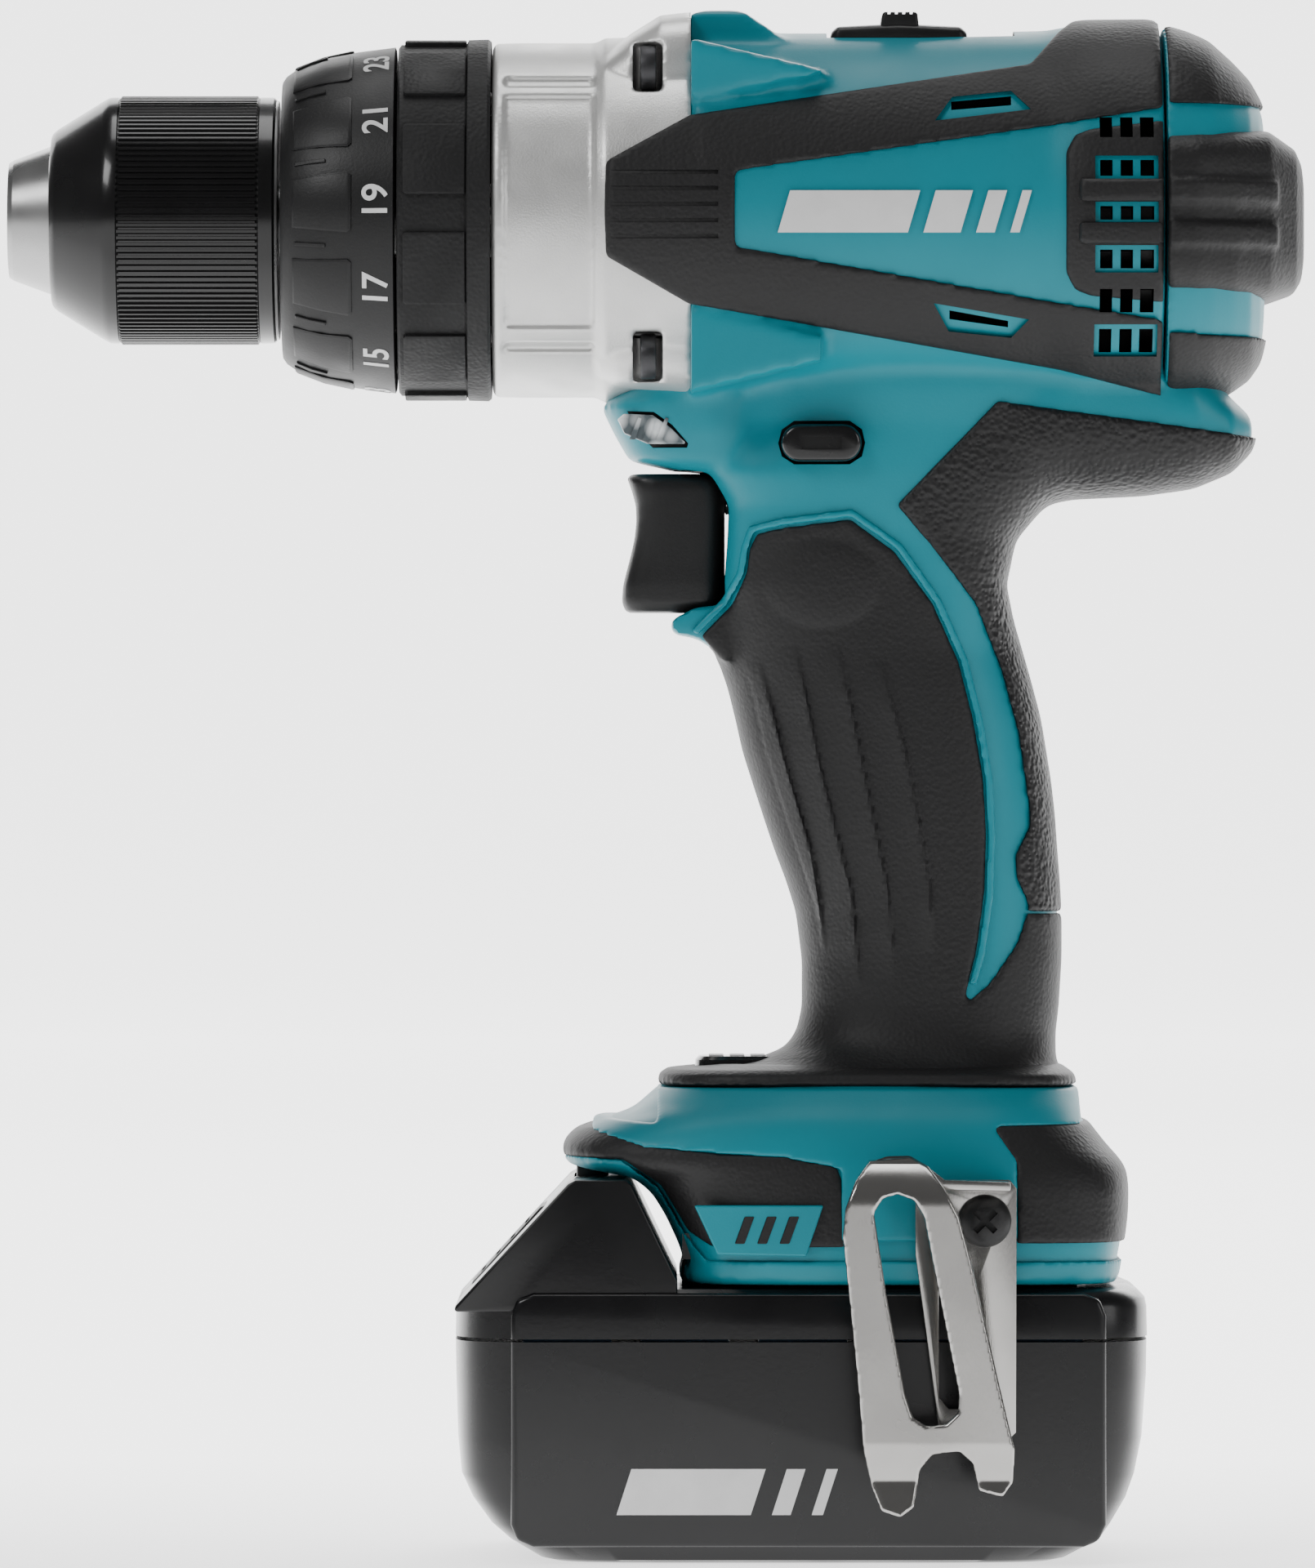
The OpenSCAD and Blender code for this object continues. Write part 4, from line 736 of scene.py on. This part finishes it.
def buildTorqueRing(s):
    ring = lathe("torqueRing", s["profile"], fineTurn)
    pads, digits = [], []
    outer = s["profile"][1:9]
    for k in range(12):
        centre = 4 + 30 * k
        pad = flatPad("pad", s["pad"], 1.0)
        pads.append(wrapFlat(pad, outer, centre, 0.7))
        tick = flatPad("tick", s["tick"], 0.9, 0.1)
        pads.append(wrapFlat(tick, outer, centre + s["step"], 0.6))
        clearSelection()
        bpy.ops.object.text_add()
        digit = bpy.context.object
        digit.data.body = str((2 * k + 18) % 24 + 1)
        digit.data.size = s["digit"] * 1.32 * mm
        digit.data.align_x, digit.data.align_y = "CENTER", "CENTER"
        digit.data.extrude = 0.1 * mm
        digit.data.offset = 0.08 * mm
        bpy.ops.object.convert(target="MESH")
        for vertex in digit.data.vertices:
            vertex.co = (vertex.co.x, s["digitX"] * mm - vertex.co.y, vertex.co.z)
        digits.append(wrapFlat(digit, outer, centre, 0))
    ring = joined([ring] + pads, "torqueRing")
    return ring, joined(digits, "torqueDigits")


torqueBody, torqueDigits = buildTorqueRing(torqueRing)
dress(smoothShade(torqueBody, crispAngle), finish["blackSatin"], "torque_ring", ("adjusting_ring", ))
dress(torqueDigits, finish["printWhite"], "torque_ring", ())

modeRing = {
    "profile": [(-65.6, 26.8), (-65.6, 28.2), (-65.2, 28.7), (-64.2, 28.7), (-54.6, 28.7), (-54.2, 29.5),
        (-51, 29.6), (-50.5, 29.2), (-50.5, 25.2), (-53.6, 25.2), (-54.6, 26.8)],
    "rib": [(-5.2, -64.6), (5.2, -64.6), (5.6, -64.2), (5.6, -54.6), (-5.6, -54.6), (-5.6, -64.2)],
    "ribBase": [(-66, 28.6), (-50, 28.6)],
}


def buildModeRing(s):
    ring = lathe("modeRing", s["profile"], fineTurn)
    raised = []
    for k in range(10):
        raised.append(wrapFlat(flatPad("rib", s["rib"], 1.2, 0.25), s["ribBase"], 18 + 36 * k, 0.4))
    return joined([ring] + raised, "modeRing")


dress(smoothShade(buildModeRing(modeRing), crispAngle), finish["ringGrip"], "mode_ring", ("mode_ring", ))
print("rings")

screwLevels = (241.8, 195)
gearCase = {
    "front": [(-50.3, 24.5), (-50.3, 28.2), (-49.6, 28.9), (-46, 29), (-33.6, 29), (-32.9, 29.3),
        (-32, 29.8), (-18, 30.2), (-18, 24.5)],
}


def buildGearCase(s):
    case = lathe("gearHousing", s["front"], fineTurn)
    lug = loft("lug", [(-33, 226, 243, 18, 4), (-31.8, 225, 244.6, 19, 4), (-27.8, 222, 248, 20, 4),
        (-23, 220, 251, 20.5, 4), (-18, 218, 251.6, 20.5, 4)], along="X")
    low = loft("low", [(-33, 191, 212, 19, 4), (-30, 190, 214, 20.5, 4), (-24, 189, 216, 21.5, 4),
        (-18, 188.4, 216, 21.5, 4)], along="X")
    boolean(case, lug, "UNION")
    boolean(case, low, "UNION")
    # Open middle for the gears, screw recesses at the four corners
    cut(case, rodAlong("bore", (0, spindleHeight), 24.6, -60, -10, sides=96))
    for side in (-1, 1):
        for z in screwLevels:
            near, far = sideSpan(side, 15, 40)
            cut(case, box("recess", (-27.4, near, z - 4), (-22.6, far, z + 4)))
    # A shallow field sunk in each side of the front band, and a step line above and below it
    for side in (-1, 1):
        for low, high in ((199.4, 237.2), (238.6, 240.4), (195.6, 197.2)):
            field = lathe("field", [(-48.4, 28.2), (-48.4, 31), (-33.6, 31), (-33.6, 28.2)], fineTurn)
            near, far = sideSpan(side, 3, 40)
            boolean(field, box("fieldSpan", (-60, near, low), (-20, far, high)), "INTERSECT")
            cut(case, field)
    return remesh(case, trimVoxel, 2)


gearHousing = buildGearCase(gearCase)
dress(smoothShade(gearHousing, castAngle), finish["silverPaint"], "housing", ("gear_housing", ))


def headScrew(name, x, y, z, length):
    # A cylinder head with a bevelled rim and a hexagon socket
    head = bevel(rodAlong(name, (y, z), 3.7, x, x + length, sides=48), 0.4, 2)
    socket = rodAlong("socket", (y, z), 1.5, x - 1, x + 1.6, sides=6)
    return cut(head, socket)


heads = []
for side in (-1, 1):
    for z in screwLevels:
        heads.append(headScrew("caseScrews", -26.2, side * 17.6, z, 2.6))
dress(smoothShade(joined(heads, "caseScrews"), crispAngle), finish["darkSteel"], "housing",
    ("gear_housing_screws", ))
print("gear housing", len(gearHousing.data.polygons))

ribLevels = (221.4, 214.4)
rearCover = {
    "core": [(58.9, 186.6, 249.2, 31, 2.2), (63, 187, 248, 30.2, 2.2), (66.2, 188, 246.6, 29, 2.2),
        (70, 190, 243.2, 26.4, 2.2), (72.8, 192, 240.2, 23.4, 2.3), (74.6, 194.6, 237, 19, 2.4),
        (75.4, 198, 234.6, 15, 2.4)],
    "block": [(59, 203.7, 232.3, 33, 5), (64, 203.7, 232.3, 32, 5), (70, 203.8, 232.2, 29, 5),
        (76, 204.1, 231.9, 24, 4.6), (80.4, 205.6, 229.1, 18, 4.2), (81.5, 207.4, 226.8, 15, 4),
        (81.9, 209.6, 224.4, 11, 4)],
    "top": [(59.4, 235.7), (59.4, 254), (80, 254), (80, 235.7)],
    "bottom": [(59.4, 184), (59.4, 198.7), (80, 198), (80, 184)],
}


def buildRearCover(s):
    core = remesh(loft("rearCover", s["core"], along="X", ring=96), coverVoxel, 3)
    skin = inflate(copyOf(core, "rearSkin"), 0.7)
    caps = [boolean(prism("rearCap", s[key], -wide, wide), skin, "INTERSECT",
        keep=True) for key in ("top", "bottom")]
    remove(skin)
    block = loft("rearBlock", s["block"], along="X", ring=96)
    ribs = []
    for z in ribLevels:
        lifted = remesh(inflate(remesh(copyOf(block, "rearRib"), coverVoxel, 2), 1.0), coverVoxel, 0)
        ribs.append(boolean(box("rearRib", (59.4, -40, z - 1.7), (77.2, 40, z + 1.7)), lifted,
            "INTERSECT"))
    for piece in ribs:
        boolean(block, piece, "UNION")
    caps = [remesh(piece, skinVoxel, 3) for piece in caps + [block]]
    return core, joined(caps, "rearCaps")


rearCore, rearCaps = buildRearCover(rearCover)
dress(smoothShade(rearCore, castAngle), finish["tealPlastic"], "housing", ("rear_cover",))
dress(smoothShade(rearCaps, castAngle), finish["gripRubber"], "housing", ())

# Two ribs carry on over the rubber pad of the body
padRibs = []
for z in ribLevels:
    source = lathe("padRib", [(44.5, 33), (45, 33.9), (57.6, 34), (58.2, 33.5), (58.2, 28), (44.5, 28)],
        fineTurn)
    for side in (-1, 1):
        near, far = sideSpan(side, 20)
        rib = box("padRib", (44, near, z - 1.8), (58.4, far, z + 1.8))
        padRibs.append(boolean(rib, source, "INTERSECT", keep=True))
    remove(source)
padRib = remesh(joined(padRibs, "padRibs"), 0.6, 2)
dress(smoothShade(padRib, castAngle), finish["gripRubber"], "housing", ())
print("rear cover")

controls = {
    "trigger": [(153.6, -29.0, -14, 7.2, 3.6), (155.2, -29.7, -12.4, 8.3, 3.8),
        (158, -29.5, -12.4, 8.5, 3.8), (160, -29, -12.4, 8.5, 3.8), (163, -28.2, -12.4, 8.5, 3.8),
        (165.7, -27.6, -12.4, 8.5, 3.8), (168.5, -27.3, -12.4, 8.5, 3.8), (171.2, -27.4, -12.4, 8.5, 3.8),
        (174, -28.2, -12.4, 8.5, 3.8), (175.4, -28.8, -12.4, 8.2, 3.6), (176.2, -28.4, -14, 7.2, 3.4)],
    "plate": [(4.9, 245.4, 248.4, 7, 5), (6, 245.4, 249.3, 7.7, 5), (16, 245.4, 249.8, 7.8, 5),
        (26, 245.4, 249.3, 7.7, 5), (27.1, 245.4, 248.4, 7, 5)],
    "collar": [(76.5, -22.6, 44.5, 25.6, 3.6), (76.9, -23.4, 45, 26.6, 3.6),
        (78.3, -23.2, 44.8, 26.2, 3.6), (79.2, -21.8, 43.6, 24.4, 3.4), (80, -14, 42.4, 20.6, 3)],
    "lens": [(-29.9, 184.9), (-28.8, 182.6), (-25, 180.9), (-19, 180.9), (-18.9, 181.2), (-21.3, 183.6),
        (-24.2, 185.6), (-28.9, 185.8)],
}
triggerPiece = remesh(loft("triggerPad", controls["trigger"]), skinVoxel, 3)
for vertex in triggerPiece.data.vertices:
    # A soft edge line where the finger face meets the sides
    x, y = vertex.co.x / mm, abs(vertex.co.y / mm)
    if x < -20 and y < 6.6:
        vertex.co.x += 0.5 * mm * (1 - (y / 6.6) ** 2)
dress(smoothShade(triggerPiece, softAngle), finish["blackSatin"], "trigger", ("trigger", ))


def halfCircle(x, z, radius, start):
    angles = [math.radians(angle) for angle in range(start, start + 181, 12)]
    return [(x + radius * math.cos(a), z + radius * math.sin(a)) for a in angles]


leverOutline = halfCircle(-0.3, 180.95, 3.0, 90) + halfCircle(6.7, 180.95, 3.0, -90)
lever = prism("leverPill", leverOutline, -20.6, 20.6)
bevel(lever, 0.8, 3)
for side in (-1, 1):
    dent = prism("leverDent", [(0, 179.9), (0, 182), (6.4, 182), (6.4, 179.9)], side * 20.2, side * 21)
    cut(lever, tidyMesh(dent))
dress(smoothShade(lever), finish["blackGloss"], "direction_lever", ("direction_lever",))

plate = remesh(loft("selectorPlate", controls["plate"], along="X"), 0.5, 2)
knob = bevel(prism("selectorKnob", [(12.8, 248), (13.3, 251.6), (19, 251.6), (19.4, 248)], -6.8, 6.8),
    0.5, 3)
for x in (14.4, 15.6, 16.8, 18):
    cut(knob, box("knobGroove", (x - 0.25, -7, 251.2), (x + 0.25, 7, 252)))
selector = joined([plate, knob], "selectorSlide")
dress(smoothShade(selector), finish["blackSatin"], "speed_selector", ("speed_selector",))

# Clear leaf-shaped lens of the lamp on each side of the chin, with facets; its colour carries painted
# glints and painted shade
lensParts = []
for side in (-1, 1):
    leaf = prism("lampLens", controls["lens"], side * 12.6, side * 14.2)
    bevel(tidyMesh(leaf), 0.45, 2)
    lensParts.append(leaf)
    for x in (-28, -25.8, -23.6):
        outline = [(x, 181.6), (x + 1.5, 185.2), (x + 2, 185), (x + 1, 181.6)]
        lensParts.append(tidyMesh(prism("facet", outline, side * 14, side * 14.6)))
lampLens = joined(lensParts, "lampLens")
dress(smoothShade(lampLens, 20), finish["clearLens"], "housing", ("led_lens",))

panelFrame = loft("gaugePanel", [(78.4, -17.4, 0.2, 8.8, 5), (80.6, -17.2, 0, 8.6, 5),
    (81.2, -16.6, -0.8, 8, 5)])
dress(smoothShade(panelFrame), finish["blackGloss"], "housing", ("indicator_panel",))
gaugeMarks = []
for k in range(4):
    mark = box("gaugeMark", (-15 + 3.4 * k, -5.6, 81), (-12.6 + 3.4 * k, 5.6, 81.4))
    gaugeMarks.append(bevel(mark, 0.1, 1))
dress(joined(gaugeMarks, "gaugeMarks"), finish["printWhite"], "housing", ())

collar = remesh(loft("footCollar", controls["collar"]), 0.7, 2)
dress(smoothShade(collar, softAngle), finish["gripRubber"], "housing", ())
print("controls")

battery = {
    "lower": [(0, -40.6, 41, 31.5, 7), (0.5, -42.6, 43, 33.4, 7), (3.4, -47.4, 48.4, 35.6, 7),
        (6, -50.4, 50.2, 36.1, 7), (10.1, -53.4, 52.6, 36.3, 7), (14, -55.2, 54, 36.4, 7),
        (20, -55.8, 55.2, 36.5, 7), (30, -56.1, 55.9, 36.5, 7), (35.7, -56.2, 56, 36.5, 7)],
    "upper": [(36.3, -56.2, 56.1, 36.5, 7), (41, -56.1, 56.0, 36.4, 7), (42.4, -55.2, 55.7, 36, 7),
        (43.6, -54.2, 54.4, 35.2, 7), (44.2, -53.6, 53, 34.6, 7)],
    "shoulder": [(-56.1, 40.6), (-56.1, 41.4), (-37.8, 61.2), (-36.6, 61.8), (-28.6, 61.8), (-27.6, 61),
        (-20.2, 45.6), (-20.2, 40.6)],
    "panel": [(-47, 6.4), (-46, 3.9), (-43.4, 2.8), (45.2, 2.8), (47.6, 3.8), (48.8, 6.4), (48.8, 40),
        (47.8, 42.6), (45.2, 43.6), (-43.4, 43.6), (-46, 42.6), (-47, 40)],
}


def buildBattery(s):
    lower = loft("batteryLower", s["lower"], ring=fineTurn)
    upper = loft("batteryUpper", s["upper"], ring=fineTurn)
    shoulder = bevel(prism("shoulder", s["shoulder"], -35.6, 35.6), 1.6, 3)
    window = prism("buttonWindow", [(-58, 44), (-54.9, 41.4), (-41.2, 56.4), (-44, 62)], -11.5, 11.5)
    cut(shoulder, window)
    hookSlot = box("hookSlot", (-37, -11.4, 55), (-31.4, 11.4, 64))
    cut(shoulder, hookSlot)
    for side in (-1, 1):
        panel = bevel(tidyMesh(prism("sidePanel", s["panel"], side * 34, side * 37.35)), 0.8, 3)
        # The panel's two halves leave a seam between the shells
        lowHalf = box("lowHalf", (-70, -50, -5), (70, 50, 35.75))
        boolean(lower, boolean(copyOf(panel, "panelLow"), lowHalf, "INTERSECT"), "UNION")
        highHalf = box("highHalf", (-70, -50, 36.25), (70, 50, 60))
        boolean(upper, boolean(panel, highHalf, "INTERSECT"), "UNION")
    boolean(upper, shoulder, "UNION")
    neck = box("neck", (-19.4, -23.8, 44), (44.6, 23.8, 48.6))
    rails = box("rails", (-19.4, -27.8, 48.8), (44.6, 27.8, 53))
    boolean(upper, bevel(neck, 0.3), "UNION")
    boolean(rails, box("railJoin", (-18.6, -23, 47), (43, 23, 52)), "UNION")
    boolean(upper, rails, "UNION")
    for y in (-14, -5, 5, 14):
        cut(upper, box("bladeSlot", (-3, y - 1.2, 48), (60, y + 1.2, 56)))
    return smoothShade(lower), smoothShade(upper)


batteryLower, batteryUpper = buildBattery(battery)
dress(batteryLower, finish["batteryShell"], "battery", ("battery_case_lower",))
dress(batteryUpper, finish["batteryShell"], "battery", ("battery_case_upper",))

buttonOutline = [(-54, 43), (-53.6, 44.4), (-42.2, 57), (-41, 56.6), (-39, 53), (-45, 47), (-51, 41.2)]
button = bevel(prism("releaseButton", buttonOutline, -10.8, 10.8), 0.7, 3)
hook = bevel(box("hook", (-36.6, -9.9, 52), (-31.8, 9.9, 65.3)), 0.6, 2)
for k in range(4):
    groove = [(x + 2.4 * k, z + 2.6 * k) for x, z in ((-52, 45.6), (-52.4, 46.2), (-51.6, 47),
        (-51.2, 46.4))]
    cut(button, prism("buttonGroove", groove, -8, 8))
latch = joined([button, hook], "batteryLatch")
dress(smoothShade(latch), finish["blackSatin"], "battery_latch", ("battery_latch",))

# Plain printed bars stand where the pack's label is
marks = []
for low, high, width in ((-30, -27.6, 21.6), (-5, -2.6, 3), (1.4, 3.8, 1.8)):
    outline = [(low, 8), (high, 15.4), (round(high + width, 6), 15.4), (round(low + width, 6), 8)]
    marks.append(prism("labelBar", outline, -37.5, -37.2))
dress(joined(marks, "packLabel"), finish["printWhite"], "battery", ())
print("battery")

clip = {
    "front": [(6.2, 53.2), (6.6, 57.6), (8.2, 62), (10.4, 65), (13.4, 66), (17, 66.1), (20, 64.4),
        (22.6, 60.8), (24.9, 56.3), (26.6, 50), (28.4, 42), (31, 30.6), (33.7, 19.2), (33.5, 14),
        (31.8, 11.6), (28, 12.6), (27, 17), (24.8, 18.9), (20.6, 18.4), (18.6, 16), (17.6, 10),
        (15.4, 8.4), (12.4, 9.4), (10.9, 13), (9.5, 19.2), (8.6, 30), (7.4, 42)],
    "slot": [(11.2, 57), (12.6, 59.3), (15, 60), (17.6, 59), (19.2, 56.4), (21.6, 44), (24.8, 28),
        (24.6, 25), (22.6, 23.2), (19.6, 23), (17.4, 24.4), (16.2, 28), (13.2, 44)],
    "back": [(21.8, 22), (23, 19.6), (32, 19.2), (34.2, 21.4), (34.3, 60.6), (33.2, 62), (18, 62.1),
        (18, 50)],
    "backSlot": [(21.8, 44), (22, 46.2), (25, 46.2), (27.2, 44), (27.4, 27), (25.6, 25.2), (23.4, 25.2),
        (21.8, 27)],
    "fold": [(8.6, 62.4), (10.6, 65.2), (17, 65.8), (20, 64.2), (22.6, 62.2), (33.2, 61.8), (33.2, 60.4),
        (22, 60.6), (19, 62.8), (12, 63.6)],
    "outer": -51.1, "inner": -40.4, "sheet": 1.2,
    "screw": {"x": 29.2, "y": -43.0, "z": 55.4},
}


def buildClip(s):
    # The spring sheet bends in near the bottom and folds back to the plate at the top
    def bow(z):
        if z > 58:
            return (z - 58) ** 2 * 0.075
        if z < 20:
            return (20 - z) * 0.1 if z > 14 else 0.6 - (14 - z) * 0.3
        return 0.0

    sheet = prism("clipFront", s["front"], s["outer"], s["outer"] + s["sheet"])
    cut(sheet, prism("clipSlot", s["slot"], s["outer"] - 3, s["outer"] + 4))
    bevel(sheet, 0.25, 2, 50)
    remesh(sheet, 0.35, 1)
    for vertex in sheet.data.vertices:
        vertex.co.y += bow(vertex.co.z / mm) * mm
    back = prism("clipBack", s["back"], s["inner"], s["inner"] + 1.6)
    cut(back, prism("backSlot", s["backSlot"], s["inner"] - 2, s["inner"] + 4))
    cut(back, rodAlong("screwHole", (s["screw"]["x"], s["screw"]["z"]), 2.2, -45, -36, axis="Y"))
    bevel(back, 0.2, 2, 50)
    fold = prism("clipFold", s["fold"], s["outer"] + 3.4, s["inner"] + 0.6)
    bevel(fold, 0.3, 2, 50)
    return joined([sheet, back, fold], "beltClip")


beltClip = buildClip(clip)
dress(smoothShade(beltClip, castAngle), finish["brightSteel"], "housing", ("belt_clip",))

headProfile = [(0, 0), (0, 1.9), (0.5, 3.2), (1.4, 4.1), (2.1, 4.25), (2.5, 4.25), (2.5, 2), (5.4, 2),
    (5.4, 0)]
screwAt = clip["screw"]
clipHead = lathe("clipScrew", headProfile, 64)
for vertex in clipHead.data.vertices:
    x, y, z = vertex.co.x, vertex.co.y, vertex.co.z - spindleZ
    vertex.co = (screwAt["x"] * mm + y, screwAt["y"] * mm + x, screwAt["z"] * mm + z)
tidyMesh(clipHead)
for angle in (45, -45):
    cross = box("crossSlot", (-2.3, -44, -0.5), (2.3, -41.6, 0.5))
    for vertex in cross.data.vertices:
        x, z = vertex.co.x, vertex.co.z
        a = math.radians(angle)
        vertex.co.x = screwAt["x"] * mm + x * math.cos(a) - z * math.sin(a)
        vertex.co.z = screwAt["z"] * mm + x * math.sin(a) + z * math.cos(a)
    cut(clipHead, cross)
dress(smoothShade(clipHead), finish["blackSatin"], "housing", ("belt_clip_screw",))
print("belt clip")

# Finishes of the frame's own nodes that stay
nodeFinishes = {
    "turnedSteel": ["chuck_body", "chuck_jaw_1", "chuck_jaw_2", "chuck_jaw_3", "spindle", "carrier_1",
        "carrier_2", "rotor_shaft", "motor_bearings", "spindle_bearings", "clutch_plate", "clutch_spring",
        "trigger_spring", "latch_spring"],
    "darkSteel": ["chuck_screw", "housing_screws", "ring_gear_1", "ring_gear_2", "ring_gear_3",
        "motor_can", "rotor_core", "motor_magnets"],
    "brassRing": ["jaw_nut", "commutator"],
    "blackSatin": ["brush_holder", "carbon_brushes", "cooling_fan", "switch_body", "terminal_block"],
    "cellWrap": ["battery_cells"],
    "circuitGreen": ["battery_board"],
}
nodeFinishes["turnedSteel"] += [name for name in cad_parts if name.startswith("planet_")]
for look, names in nodeFinishes.items():
    for name in names:
        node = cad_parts[name]
        for place in range(max(1, len(node.material_slots))):
            if len(node.material_slots) <= place:
                node.data.materials.append(finish[look])
            else:
                node.material_slots[place].material = finish[look]
print("finishes on the frame")

studio = {
    "floorSize": 16.0, "curveFrom": 4.6, "curve": 0.6, "glow": (0.6, 2.8), "fade": 0.3,
    "air": (0.12, 2.6), "aim": (-0.02, 0, 0.13),
    "lights": [("keyLight", (-1.5, -1.6, 2.0), 1.0, 26), ("fillLight", (2.2, -1.6, 0.9), 1.0, 10),
        ("topLight", (0.0, 0.2, 2.2), 1.2, 18), ("backLight", (0.6, 2.2, 1.4), 1.2, 14)],
}


def buildStudio(setup):
    clearSelection()
    bpy.ops.mesh.primitive_grid_add(x_subdivisions=8, y_subdivisions=80, size=setup["floorSize"])
    floor = named("studioFloor")
    for vertex in floor.data.vertices:
        # The floor curves up into the backdrop far behind the drill
        if vertex.co.y > setup["curveFrom"]:
            vertex.co.z = (vertex.co.y - setup["curveFrom"]) ** 2 * setup["curve"]
    smoothShade(floor, 60)
    paper = bpy.data.materials.new("paleFloor")
    paper.use_nodes = True
    nodes, links = paper.node_tree.nodes, paper.node_tree.links
    shader = nodes["Principled BSDF"]
    setInputs(shader, {"Base Color": (0.93, 0.93, 0.93, 1), "Roughness": 0.7,
        "Emission Color": (1, 1, 1, 1)})
    # The floor glows behind the drill and fades in front of it, so that dark pieces stay dark
    place = nodes.new("ShaderNodeTexCoord")
    parts = nodes.new("ShaderNodeSeparateXYZ")
    fade = nodes.new("ShaderNodeMapRange")
    low, high = setup["glow"]
    setInputs(fade, {"From Min": -setup["fade"], "From Max": setup["fade"], "To Min": low,
        "To Max": high})
    links.new(place.outputs["Object"], parts.inputs["Vector"])
    links.new(parts.outputs["Y"], fade.inputs["Value"])
    links.new(fade.outputs["Result"], shader.inputs["Emission Strength"])
    floor.data.materials.append(paper)
    for name, place, size, power in setup["lights"]:
        bpy.ops.object.light_add(type="AREA", location=place)
        light = bpy.context.object
        light.name = name
        light.data.size = size
        light.data.energy = power
        aim = Vector(setup["aim"]) - light.location
        light.rotation_euler = aim.to_track_quat("-Z", "Y").to_euler()
    world = bpy.data.worlds.new("studioAir")
    bpy.context.scene.world = world
    world.use_nodes = True
    # Soft dim air lights the drill, while what shows behind it stays pale
    nodes, links = world.node_tree.nodes, world.node_tree.links
    nodes["Background"].inputs["Color"].default_value = (1, 1, 1, 1)
    path = nodes.new("ShaderNodeLightPath")
    strength = nodes.new("ShaderNodeMapRange")
    low, high = setup["air"]
    setInputs(strength, {"To Min": low, "To Max": high})
    links.new(path.outputs["Is Camera Ray"], strength.inputs["Value"])
    links.new(strength.outputs["Result"], nodes["Background"].inputs["Strength"])


buildStudio(studio)
